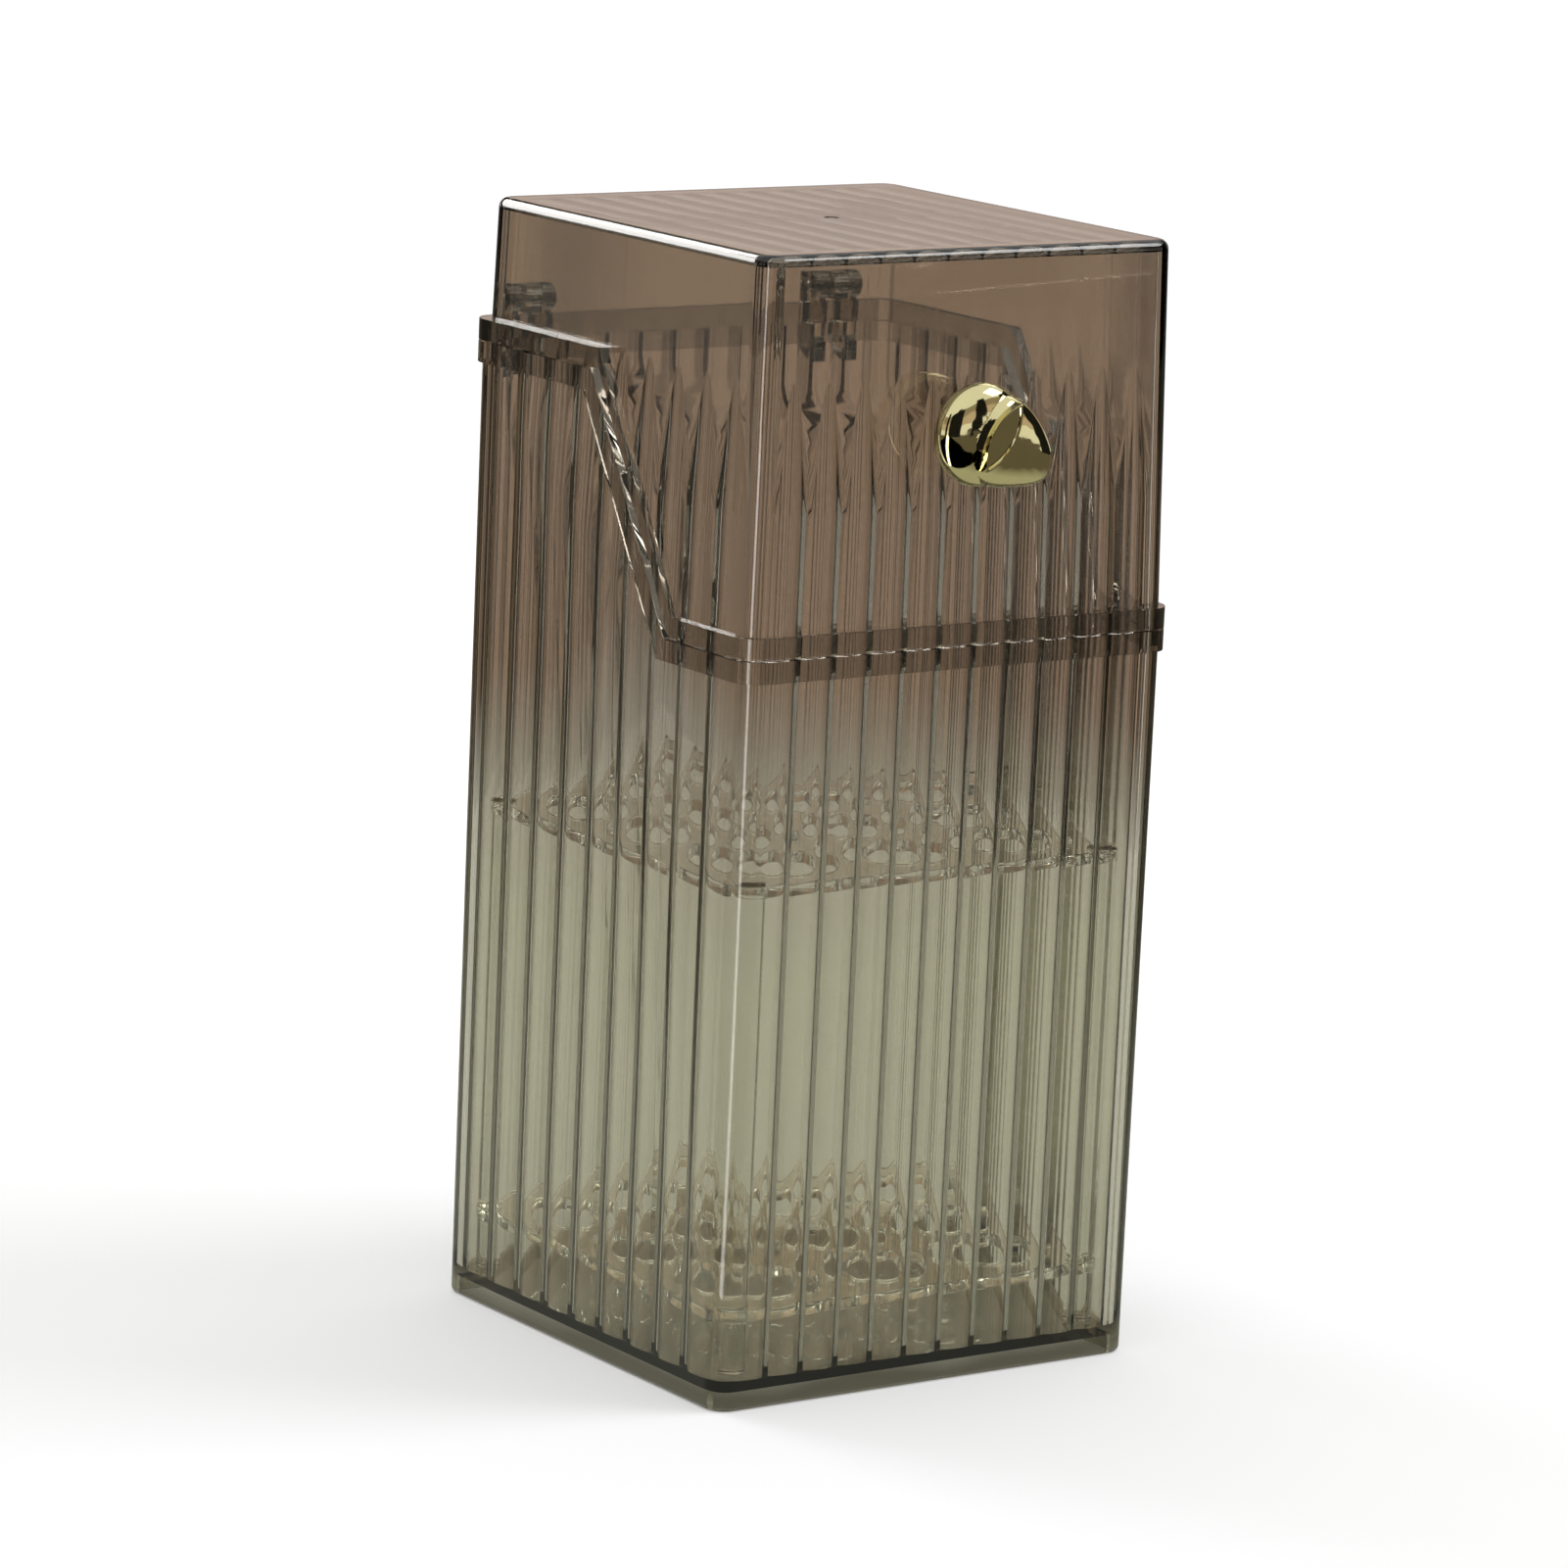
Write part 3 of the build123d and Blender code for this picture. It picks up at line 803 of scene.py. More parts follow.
def add_lid():
    """The lid: rounded top edges, grooves inside, a slanted lower edge with its flange."""
    low_z = FRONT_SEAM_Z - LID_SPARE
    low_width = LID_TOP_WIDTH + 2 * LID_SPREAD * (BOX_HEIGHT - low_z)
    lid = add_outer_block(
        "lid_moulding",
        low_width,
        low_z,
        BOX_HEIGHT,
        LID_TOP_WIDTH,
        BOX_HEIGHT,
        TOP_ROUND,
        segments=6,
    )
    combine(lid, add_flange("flange", -PAST, SEAM_GAP / 2 + FLANGE_HEIGHT), "UNION")
    combine(lid, add_seam_side("below", SEAM_GAP / 2, -2 * FAR), "DIFFERENCE")
    combine(lid, add_lid_core(), "DIFFERENCE")
    combine(lid, add_top_grooves(), "DIFFERENCE")
    combine(lid, add_gate_dimple(), "DIFFERENCE")
    wall_y = lid_wall_y()
    hole = add_rod_along_y(
        "screw_hole", SCREW_HOLE_RADIUS, wall_y - LID_WALL, wall_y + 2 * LID_WALL
    )
    combine(lid, hole, "DIFFERENCE")
    places = (-HINGE_SPACING / 2, HINGE_SPACING / 2)
    return finish_moulding(lid, add_lid_lug(places[0]), places)


def add_lid_core():
    """The lid's hollow: fluted low down, flutes that narrow to points, plain above."""

    def width_at(z):
        return LID_TOP_WIDTH - 2 * LID_WALL + 2 * LID_SPREAD * (BOX_HEIGHT - z)

    low_z = FRONT_SEAM_Z - HOLLOW_SPARE
    levels = [(low_z, width_at(low_z), 1, 1)]
    for step in range(FLUTE_TIP_STEPS + 1):
        left = 1 - step / FLUTE_TIP_STEPS
        z = FLUTE_TIP_Z - left**2 * (FLUTE_TIP_Z - FLUTE_SHOULDER_Z)
        width_share = max(left, FLUTE_TIP_SHARE)
        levels.append((z, width_at(z), width_share, max(left**2, FLUTE_TIP_DEPTH_SHARE)))
    ceiling_z = BOX_HEIGHT - LID_TOP_THICKNESS
    levels.append((ceiling_z, width_at(ceiling_z), FLUTE_TIP_SHARE, 0))
    return add_fluted_core("hollow", width_at(ceiling_z), CORNER_RADIUS - LID_WALL, levels)


def add_top_grooves():
    """Shallow round grooves under the lid's top, from front to rear, as one solid."""
    shape = bpy.context.scene.brush_box_shape
    run = LID_TOP_WIDTH - 2 * CORNER_RADIUS
    half_length = LID_TOP_WIDTH / 2 - LID_WALL - TOP_FLUTE_MARGIN
    top_z = BOX_HEIGHT - LID_TOP_THICKNESS + TOP_FLUTE_LIFT
    low = (-run / 2, -half_length, top_z - TOP_FLUTE_BLOCK)
    grooves = add_block("grooves", low, (run / 2, half_length, top_z))
    columns = flute_columns(run, shape.front_flutes, shape.flute_depth)
    edit(grooves)
    for place, _, _ in columns:
        slice_through((place, 0, 0), (1, 0, 0))
    for out in sorted({round(column[2], 9) for column in columns}):
        places = [column[0] for column in columns if near(column[2], out)]
        choose(
            grooves,
            "VERT",
            lambda v: near(v.co.z, top_z) and any(near(v.co.x, place) for place in places),
        )
        bpy.ops.transform.translate(value=(0, 0, out))
    leave()
    clean(grooves)
    return grooves


def add_gate_dimple():
    """The round dimple of the gate mark, with a small nub left standing in it."""
    floor_z = BOX_HEIGHT - GATE_MARK_DEPTH
    nub_low = BOX_HEIGHT - 2 * GATE_MARK_DEPTH
    nub_top = BOX_HEIGHT - GATE_NUB_LOW * GATE_MARK_DEPTH
    nub_radius = GATE_MARK_RADIUS * GATE_NUB_SHARE
    dimple = add_rod("dimple", GATE_MARK_RADIUS, (0, 0, floor_z), (0, 0, BOX_HEIGHT + PAST))
    nub = add_rod("nub", nub_radius, (0, 0, nub_low), (0, 0, nub_top), sides=16)
    combine(dimple, nub, "DIFFERENCE")
    return dimple


def add_hinge_pin(name, node):
    """A plain steel pin with domed ends."""
    low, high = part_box(node)
    middle = (low + high) / 2
    start, end = (low.x, middle.y, middle.z), (high.x, middle.y, middle.z)
    pin = add_rod(name, PIN_RADIUS - PIN_SLACK, start, end, sides=32)
    round_edges(pin, PIN_ROUND, segments=4)
    smooth(pin)
    return pin


def add_pebble(name, outline, middle_y, half):
    """A pebble with the given outline in front view, widest at middle_y."""
    bpy.ops.object.select_all(action="DESELECT")
    bpy.ops.mesh.primitive_circle_add(
        vertices=len(outline),
        radius=LOBE_RADIUS * MM,
        fill_type="NGON",
        location=(0, middle_y, KNOB_Z),
        rotation=(math.pi / 2, 0, 0),
    )
    pebble = take_new(name)
    places = [Vector((x * MM, middle_y, KNOB_Z + z * MM)) for x, z in outline]
    middle = sum(places, Vector()) / len(places)
    moves = [place - point.co for place, point in zip(places, pebble.data.vertices)]
    edit(pebble)
    for index, move in enumerate(moves):
        choose(pebble, "VERT", lambda v: v.index == index)
        bpy.ops.transform.translate(value=move)
    for direction in (-1, 1):
        choose(pebble, "FACE", level_with(middle_y, 1))
        depth = 0
        for share, width in PEBBLE_RINGS:
            step = direction * (share - depth) * half
            depth = share
            bpy.ops.mesh.extrude_region_move(TRANSFORM_OT_translate={"value": (0, step, 0)})
            bpy.ops.transform.resize(value=(width, 1, width), center_override=middle)
    leave()
    round_up = pebble.modifiers.new("round", "SUBSURF")
    round_up.levels = 3
    round_up.render_levels = 3
    apply_modifiers(pebble)
    clean(pebble)
    return pebble


def add_facet(y):
    """The leaf-shaped facet on the petal: a raised rim round a recessed face."""
    half_length = FACET_LENGTH / 2
    half_width = FACET_WIDTH / 2
    radius = (half_length**2 + half_width**2) / (2 * half_width)
    shift = radius - half_width
    rear_y = y + FACET_THICKNESS
    leaf = add_rod_along_y("facet", radius, y, rear_y, x=-shift, z=0, sides=96)
    other = add_rod_along_y("other", radius, y - PAST, rear_y + PAST, x=shift, z=0, sides=96)
    combine(leaf, other, "INTERSECT")
    edit(leaf)
    choose(leaf, "FACE", lambda f: f.normal.y < -0.9)
    bpy.ops.mesh.inset(thickness=FACET_RIM, use_even_offset=True)
    bpy.ops.mesh.inset(thickness=FACET_RIM_SLOPE, depth=-FACET_DEPTH, use_even_offset=True)
    bpy.ops.transform.rotate(
        value=FACET_LEAN, orient_axis="X", center_override=(0, y + FACET_DEPTH, 0)
    )
    leave()
    round_edges(leaf, FACET_ROUND, segments=2, angle=50)
    leaf.rotation_euler = (0, FACET_TILT, 0)
    leaf.location = (FACET_X, 0, KNOB_Z + FACET_RISE)
    apply_place(leaf)
    return leaf


def add_knob():
    """The gold knob: a round lobe, a petal folded over it, a neck and a foot."""
    wall_y = lid_wall_y()
    centre_y = wall_y - KNOB_STANDOFF - KNOB_THICKNESS / 2
    front_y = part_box("knob")[0].y
    circle = []
    for step in range(LOBE_POINTS):
        angle = 2 * math.pi * step / LOBE_POINTS
        circle.append(
            (LOBE_X + LOBE_RADIUS * math.cos(angle), LOBE_RISE + LOBE_RADIUS * math.sin(angle))
        )
    knob = add_pebble("knob_gold", circle, centre_y + LOBE_BACK, LOBE_HALF)
    petal = add_pebble("petal", PETAL_OUTLINE, centre_y - PETAL_FORWARD, PETAL_HALF)
    combine(knob, petal, "UNION")
    combine(knob, add_facet(front_y + SUNK), "UNION")
    neck = add_rod_along_y("neck", KNOB_NECK_RADIUS, centre_y, wall_y - SUNK / 2)
    combine(knob, neck, "UNION")
    foot_y = wall_y - KNOB_FOOT_THICKNESS
    foot = add_rod_along_y("foot", KNOB_FOOT_RADIUS, foot_y, wall_y - SUNK)
    round_edges(foot, KNOB_FOOT_ROUND)
    combine(knob, foot, "UNION")
    clean(knob)
    smooth(knob, angle=40)
    return knob


def add_screw():
    """The slotted pan-head screw inside the lid."""
    low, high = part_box("knob_screw")
    z = (low.z + high.z) / 2
    head_radius = (high.x - low.x) / 2
    head_low = high.y - SCREW_HEAD_HEIGHT
    head = add_rod_along_y("screw_steel", head_radius, head_low, high.y, z=z)
    edit(head)
    choose(head, "EDGE", level_with(high.y, 1))
    bpy.ops.mesh.bevel(offset=SCREW_HEAD_ROUND, segments=5, affect="EDGES")
    leave()
    shank_end = head_low + SCREW_SHANK_SUNK
    shank = add_rod_along_y("shank", SCREW_RADIUS, low.y, shank_end, z=z)
    combine(head, shank, "UNION")
    reach = 1.5 * head_radius
    slot_low = (-reach, high.y - SCREW_SLOT_DEPTH, z - SCREW_SLOT_HALF)
    slot_high = (reach, high.y + PAST, z + SCREW_SLOT_HALF)
    combine(head, add_block("slot", slot_low, slot_high), "DIFFERENCE")
    clean(head)
    smooth(head)
    return head


def node_radius(node):
    low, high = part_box(node)
    return (high.x - low.x) / 2


def add_tray(name, node):
    """A clear plate with nine brush holes and a hole for each post, all with rounded edges."""
    low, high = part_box(node)
    tray = add_rounded_block(name, high.x - low.x, RACK_CORNER_RADIUS, low.z, high.z)
    holes = []
    for y in (-BRUSH_HOLE_PITCH, 0, BRUSH_HOLE_PITCH):
        for x in (-BRUSH_HOLE_PITCH, 0, BRUSH_HOLE_PITCH):
            holes.append((x, y, BRUSH_HOLE_RADIUS, BRUSH_HOLE_SIDES))
    post = (high.x - low.x) / 2 - POST_INSET
    post_radius = node_radius("rack_post_front_left")
    for x in (-post, post):
        for y in (-post, post):
            holes.append((x, y, post_radius, POST_HOLE_SIDES))
    cutters = []
    for x, y, radius, sides in holes:
        start, end = (x, y, low.z - PAST), (x, y, high.z + PAST)
        cutters.append(add_rod("hole", radius, start, end, sides=sides))
    combine(tray, join(cutters), "DIFFERENCE")
    clean(tray)
    round_edges(tray, bpy.context.scene.brush_box_shape.tray_edge_round)
    smooth(tray)
    return tray


def add_post(name, node):
    """A clear round post with rounded ends, a hair's breadth off what it stands on."""
    low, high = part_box(node)
    middle = (low + high) / 2
    start = (middle.x, middle.y, low.z + POST_FOOT_GAP)
    end = (middle.x, middle.y, high.z - POST_TOP_GAP)
    post = add_rod(name, node_radius(node) - POST_SLACK, start, end, sides=40)
    round_edges(post, POST_ROUND)
    smooth(post)
    return post


# Materials


class Shading:
    """The node tree of a material, of the world or of a node group."""

    def __init__(self, tree):
        self.nodes = tree.nodes
        self.links = tree.links

    def feed(self, node, inputs):
        """Links the inputs of a node, by name or number, to other sockets, or sets them."""
        for name, value in inputs.items():
            if isinstance(value, bpy.types.NodeSocket):
                self.links.new(value, node.inputs[name])
            else:
                node.inputs[name].default_value = value

    def shade(self, inputs):
        """Feeds the inputs of the Principled shader."""
        self.feed(self.nodes["Principled BSDF"], inputs)

    def add(self, kind, inputs, **settings):
        """A new node with its settings and its inputs."""
        node = self.nodes.new(f"ShaderNode{kind}")
        for name, value in settings.items():
            setattr(node, name, value)
        self.feed(node, inputs)
        return node

    def place(self):
        """The place on the piece, in metres from the centre of the box's base."""
        return self.add("TexCoord", {}).outputs["Object"]

    def axes(self, place):
        return self.add("SeparateXYZ", {"Vector": place}).outputs

    def distance(self, place):
        return self.add("VectorMath", {0: place}, operation="LENGTH").outputs["Value"]

    def calculate(self, operation, *values):
        return self.add("Math", dict(enumerate(values)), operation=operation).outputs["Value"]

    def spread(self, value, low, high, to_low=0.0, to_high=1.0, **settings):
        """The value, moved from the range low to high into the range to_low to to_high."""
        inputs = {"Value": value, "From Min": low, "From Max": high}
        inputs.update({"To Min": to_low, "To Max": to_high})
        return self.add("MapRange", inputs, **settings).outputs["Result"]

    def noise(self, place, scale, detail=2):
        """Soft random spots, as values about 0.5."""
        inputs = {"Vector": place, "Scale": scale, "Detail": detail}
        return self.add("TexNoise", inputs).outputs["Fac"]

    def ramp(self, value, *stops):
        """A colour that follows the value through stops, each a position and a colour."""
        ramp = self.add("ValToRGB", {"Fac": value})
        marks = ramp.color_ramp.elements
        for position, _ in stops[1:-1]:
            marks.new(position)
        for mark, (position, colour) in zip(marks, stops):
            mark.position = position
            mark.color = (*colour, 1)
        return ramp.outputs["Color"]


def new_material(name):
    """A material with a Principled shader alone, and its node tree."""
    material = bpy.data.materials.new(name)
    material.use_nodes = True
    return material, Shading(material.node_tree)


def build_surface_group():
    """Slow ripples and fine specks of a moulded surface: roughness and height."""
    group = bpy.data.node_groups.new("Moulded surface", "ShaderNodeTree")
    sockets = group.interface
    sockets.new_socket("Vector", in_out="INPUT", socket_type="NodeSocketVector")
    for name, value in zip(SURFACE_INPUTS, SURFACE_DEFAULTS):
        socket = sockets.new_socket(name, in_out="INPUT", socket_type="NodeSocketFloat")
        socket.default_value = value
    for name in ("Roughness", "Height"):
        sockets.new_socket(name, in_out="OUTPUT", socket_type="NodeSocketFloat")
    tree = Shading(group)
    start = group.nodes.new("NodeGroupInput").outputs
    ripple = tree.noise(start["Vector"], start["Ripple Scale"])
    speck = tree.noise(start["Vector"], start["Speck Scale"], detail=4)
    roughness = tree.spread(speck, 0.35, 0.7, start["Roughness Low"], start["Roughness High"])
    tree.feed(group.nodes.new("NodeGroupOutput"), {"Roughness": roughness, "Height": ripple})
    return group


def add_surface(tree, values, bump_strength, bump_distance):
    """Feeds the shader's roughness and normal from the group; gives the place on the piece."""
    group = bpy.data.node_groups.get("Moulded surface") or build_surface_group()
    place = tree.place()
    inputs = {"Vector": place, **dict(zip(SURFACE_INPUTS, values))}
    surface = tree.add("Group", inputs, node_tree=group).outputs
    relief = {"Strength": bump_strength, "Distance": bump_distance, "Height": surface["Height"]}
    normal = tree.add("Bump", relief).outputs["Normal"]
    tree.shade({"Roughness": surface["Roughness"], "Normal": normal})
    return place


def make_clear(tree, absorbed, density, shadow):
    """Makes the shader clear plastic that absorbs light where it is thick.

    Lamp light passes straight through, tinted, instead of casting a full shadow.
    """
    tree.shade({"Transmission Weight": 1, "IOR": PLASTIC_IOR})
    absorb = tree.add("VolumeAbsorption", {"Color": (*absorbed, 1), "Density": density})
    path = tree.add("LightPath", {})
    clear = tree.add("BsdfTransparent", {"Color": (*shadow, 1)})
    plastic = tree.nodes["Principled BSDF"].outputs["BSDF"]
    shaders = {"Fac": path.outputs["Is Shadow Ray"], 1: plastic, 2: clear.outputs["BSDF"]}
    surface = tree.add("MixShader", shaders).outputs["Shader"]
    outputs = {"Surface": surface, "Volume": absorb.outputs["Volume"]}
    tree.feed(tree.nodes["Material Output"], outputs)


def smoke_plastic():
    """Smoke-tinted polystyrene of one tint, with painted shade and light in its colour: darker
    taupe above, lighter grey-green below, darkest olive at the floor plate.
    """
    finish = bpy.context.scene.brush_box_finish
    material, tree = new_material("smoke_plastic_finish")
    place = add_surface(tree, (55, 700, 0.01, 0.04), 0.12, 0.1 * MM)
    height = tree.axes(place)["Z"]
    # Painted shade and light by height, along a wavy line
    wavy_height = tree.calculate("MULTIPLY_ADD", tree.noise(place, 18), PAINTED_SHADE_WAVE, height)
    colour = tree.ramp(
        tree.spread(wavy_height, 0, BOX_HEIGHT),
        (0.035, finish.smoke_floor_painted_shade),
        (0.055, finish.smoke_low_painted_light),
        (0.40, finish.smoke_low_painted_light),
        (0.62, finish.smoke_top_painted_shade),
    )
    # The marked share per face: painted shade on the flange, painted light on the hinge lugs
    part = tree.add("Attribute", {}, attribute_name="tint").outputs["Fac"]
    tinted = tree.add("VectorMath", {0: colour, "Scale": part}, operation="SCALE")
    tree.shade({"Base Color": tinted.outputs["Vector"]})
    make_clear(tree, (0.62, 0.61, 0.55), 190, (0.78, 0.76, 0.70))
    return material


def clear_plastic():
    """Clear polystyrene of the rack."""
    material, tree = new_material("clear_plastic_finish")
    place = add_surface(tree, (90, 800, 0.01, 0.05), 0.3, 0.08 * MM)
    cloud = tree.noise(place, 40)
    tint = tree.ramp(cloud, (0, (0.97, 0.98, 0.965)), (1, (0.99, 1.0, 0.99)))
    tree.shade({"Base Color": tint})
    make_clear(tree, (0.80, 0.85, 0.80), 4, (0.95, 0.96, 0.95))
    return material


def metal(name, colour, dull_share, surface, bump_strength):
    """A plated or plain metal whose colour and gloss vary finely."""
    material, tree = new_material(name)
    place = add_surface(tree, surface, bump_strength, 0.05 * MM)
    dull = [dull_share * value for value in colour]
    tone = tree.ramp(tree.noise(place, 220, detail=5), (0.3, dull), (0.6, colour))
    tree.shade({"Base Color": tone, "Metallic": 1})
    return material


def gold_plate():
    finish = bpy.context.scene.brush_box_finish
    return metal("gold_plate_finish", finish.gold, 0.96, (120, 1500, 0.03, 0.09), 0.2)


def plain_steel():
    finish = bpy.context.scene.brush_box_finish
    return metal("steel_finish", finish.steel, 0.85, (900, 2500, 0.22, 0.38), 0.4)


def finish_piece(piece, body, slot, maker, *nodes):
    """Gives a finished piece the material named after its slot, puts it in its body and hides the
    CAD nodes it stands for.
    """
    material = bpy.data.materials.get(f"{slot}_finish") or maker()
    piece.data.materials.clear()
    piece.data.materials.append(material)
    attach(piece, body)
    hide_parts(*nodes)


# Stage


def ray_share(tree):
    """1 for camera, glossy and transmission rays, 0 for the rays that light the object."""
    path = tree.add("LightPath", {}).outputs
    seen = tree.calculate("MAXIMUM", path["Is Camera Ray"], path["Is Glossy Ray"])
    return tree.calculate("MAXIMUM", seen, path["Is Transmission Ray"])


def glow_material(name, colour=WHITE, strength=1):
    """A material that only glows, and its node tree."""
    material, tree = new_material(name)
    tree.shade({"Base Color": (0, 0, 0, 1), "Specular IOR Level": 0})
    tree.shade({"Emission Color": (*colour, 1), "Emission Strength": strength})
    return material, tree


def set_on_stage(piece, material, *hidden_from):
    """Gives a stage piece its material and hides it from the named kinds of ray."""
    piece.data.materials.append(material)
    for ray in hidden_from:
        setattr(piece, f"visible_{ray}", False)


def add_disc(name, radius, z, sides):
    bpy.ops.object.select_all(action="DESELECT")
    bpy.ops.mesh.primitive_circle_add(
        vertices=sides, radius=radius, fill_type="NGON", location=(0, 0, z)
    )
    return take_new(name)


def add_ring(name, radius, low_z, top_z):
    """An open upright ring round the object."""
    bpy.ops.object.select_all(action="DESELECT")
    bpy.ops.mesh.primitive_cylinder_add(
        vertices=96,
        radius=radius,
        depth=top_z - low_z,
        end_fill_type="NOTHING",
        location=(0, 0, (top_z + low_z) / 2),
    )
    return take_new(name)


def drop_faces(piece, unwanted):
    edit(piece, "FACE")
    choose(piece, "FACE", unwanted)
    bpy.ops.mesh.delete(type="FACE")
    leave()


def build_world():
    world = bpy.data.worlds.new("studio")
    bpy.context.scene.world = world
    world.use_nodes = True
    tree = Shading(world.node_tree)
    strength = tree.spread(ray_share(tree), 0, 1, *WORLD_LEVELS)
    tree.feed(tree.nodes["Background"], {"Color": (*WHITE, 1), "Strength": strength})


def build_floor():
    """A pale matt floor that glows a little to whatever looks at it, more so far off."""
    floor = add_disc("floor", FLOOR_RADIUS, 0, 96)
    material, tree = new_material("floor")
    place = add_surface(tree, (3, 200, 0.6, 0.8), 0.05, MM)
    tree.shade({"Base Color": (0.84, 0.84, 0.84, 1), "Specular IOR Level": 0})
    level = tree.spread(tree.distance(place), 0.4, 2.5, *FLOOR_LEVELS)
    glow = tree.calculate("MULTIPLY", ray_share(tree), level)
    tree.shade({"Emission Color": (*WHITE, 1), "Emission Strength": glow})
    set_on_stage(floor, material)


def build_wall():
    """A low taupe wall all round the table, which only shows in the gloss of the object."""
    wall = add_ring("wall", WALL_RADIUS, WALL_LOW_Z, WALL_TOP_Z)
    material, tree = glow_material("taupe_wall")
    share = tree.spread(tree.axes(tree.place())["Z"], 0.9, 1.1)
    tone = tree.ramp(share, (0, WALL_LOW_COLOUR), (1, WALL_TOP_COLOUR))
    tree.shade({"Emission Color": tone})
    set_on_stage(wall, material, *GLOSS_ONLY)


def build_screen():
    """A curved screen behind the object, taupe in soft streaks, that only shows through plastic."""
    screen = add_ring("screen", SCREEN_RADIUS, 0, SCREEN_HEIGHT)
    behind = Vector((-math.sin(CAMERA_AZIMUTH), math.cos(CAMERA_AZIMUTH), 0))
    drop_faces(screen, lambda f: behind.angle(-f.normal) < math.pi - SCREEN_REACH)
    material, tree = glow_material("streaked_screen")
    place = tree.place()
    flat = tree.add("Mapping", {"Scale": (1, 1, 0), "Vector": place}).outputs["Vector"]
    streak = tree.noise(flat, SCREEN_STREAK_SCALE)
    tone = tree.ramp(streak, (0.44, SCREEN_DARK), (0.58, SCREEN_LIGHT))
    share = tree.spread(tree.axes(place)["Z"], 0, SCREEN_FOOT_HEIGHT)
    blend = {"Factor": share, MIX_FIRST_COLOUR: (*SCREEN_FOOT, 1), MIX_SECOND_COLOUR: tone}
    mix = tree.add("Mix", blend, data_type="RGBA")
    tree.shade({"Emission Color": mix.outputs[MIX_COLOUR_RESULT]})
    set_on_stage(screen, material, *PLASTIC_ONLY)


def build_band():
    """A bright band high up, open at the rear, which only lights the edges in the plastic."""
    band = add_ring("band", BAND_RADIUS, BAND_LOW_Z, BAND_TOP_Z)
    drop_faces(band, lambda f: f.calc_center_median().y > BAND_REAR_Y)
    material, _ = glow_material("bright_band", strength=BAND_STRENGTH)
    set_on_stage(band, material, *PLASTIC_ONLY)


def build_carpet():
    """A dark disc on the floor that only shows in gloss, so that the outer faces stay clear."""
    carpet = add_disc("carpet", CARPET_RADIUS, CARPET_Z, 64)
    material, tree = glow_material("dark_carpet")
    share = tree.spread(tree.distance(tree.place()), 0.22, 0.5)
    tone = tree.ramp(share, (0, CARPET_NEAR_COLOUR), (1, CARPET_FAR_COLOUR))
    tree.shade({"Emission Color": tone})
    set_on_stage(carpet, material, *GLOSS_ONLY)


def build_strip():
    """A bright soft-edged wedge on the floor, which only shows as a line on the near corner."""
    bpy.ops.object.select_all(action="DESELECT")
    bpy.ops.mesh.primitive_plane_add(size=1, rotation=(0, 0, STRIP_AZIMUTH))
    strip = bpy.context.object
    strip.name = "strip"
    edit(strip)
    select_whole_mesh()
    bpy.ops.transform.resize(value=(STRIP_WIDTH, STRIP_LENGTH, 1), orient_type="LOCAL")
    middle = (0, -STRIP_START - STRIP_LENGTH / 2, STRIP_Z)
    bpy.ops.transform.translate(value=middle, orient_type="LOCAL")
    leave()
    material, tree = glow_material("bright_strip", WARM_WHITE)
    axes = tree.axes(tree.place())
    aside = tree.calculate("ABSOLUTE", tree.calculate("DIVIDE", axes["X"], axes["Y"]))
    level = tree.spread(
        aside, 0, STRIP_SPREAD, STRIP_STRENGTH, 0, interpolation_type="SMOOTHSTEP"
    )
    tree.shade({"Emission Strength": level})
    set_on_stage(strip, material, *GLOSS_ONLY)


def build_edge_card():
    """A long bright card high up, which only shows as a bright line on the left level edges."""
    facing = CARD_FACING.normalized()
    along = CARD_ALONG.normalized()
    turn = Matrix((along.cross(facing), along, facing)).transposed().to_euler()
    bpy.ops.object.select_all(action="DESELECT")
    bpy.ops.mesh.primitive_plane_add(size=1, location=CARD_DISTANCE * facing, rotation=turn)
    card = take_new("edge_card", scale=(CARD_WIDTH, CARD_LENGTH, 1))
    material, _ = glow_material("bright_card", WARM_WHITE, CARD_STRENGTH)
    set_on_stage(card, material, *GLOSS_ONLY)


def build_flag(name, azimuth, distance, width, height, material, *hidden_from):
    """An upright dark flag that faces the object and doesn't darken its light."""
    angle = math.radians(azimuth)
    bpy.ops.object.select_all(action="DESELECT")
    bpy.ops.mesh.primitive_cube_add(
        size=1,
        location=(distance * math.sin(angle), -distance * math.cos(angle), height / 2),
        rotation=(0, 0, angle),
        scale=(width, FLAG_THICKNESS, height),
    )
    set_on_stage(take_new(name), material, "camera", "diffuse", "shadow", *hidden_from)


def build_flags():
    """Slim dark flags all round, for dark lines in the glass, and two wide ones for the metal."""
    material, tree = new_material("dark_flag")
    tree.shade({"Base Color": (0.02, 0.02, 0.02, 1), "Roughness": 1, "Specular IOR Level": 0})
    pitch = 360 / FLAG_COUNT
    for index in range(FLAG_COUNT):
        azimuth = (index + 0.5) * pitch
        build_flag(f"flag_{index}", azimuth, FLAG_DISTANCE, FLAG_WIDTH, FLAG_HEIGHT, material)
    for name, azimuth, width in WIDE_FLAGS:
        build_flag(
            name, azimuth, WIDE_FLAG_DISTANCE, width, WIDE_FLAG_HEIGHT, material, "transmission"
        )


def build_slats():
    """Slim dark slats before the object, so that the flutes also show dark lines from behind."""
    material, _ = glow_material("dark_slat", (0.05, 0.04, 0.03))
    for index in range(SLAT_COUNT):
        azimuth = math.degrees(CAMERA_AZIMUTH) + (index + 0.5 - SLAT_COUNT / 2) * SLAT_PITCH
        name = f"slat_{index}"
        build_flag(name, azimuth, SCREEN_RADIUS, SLAT_WIDTH, SLAT_HEIGHT, material, "glossy")


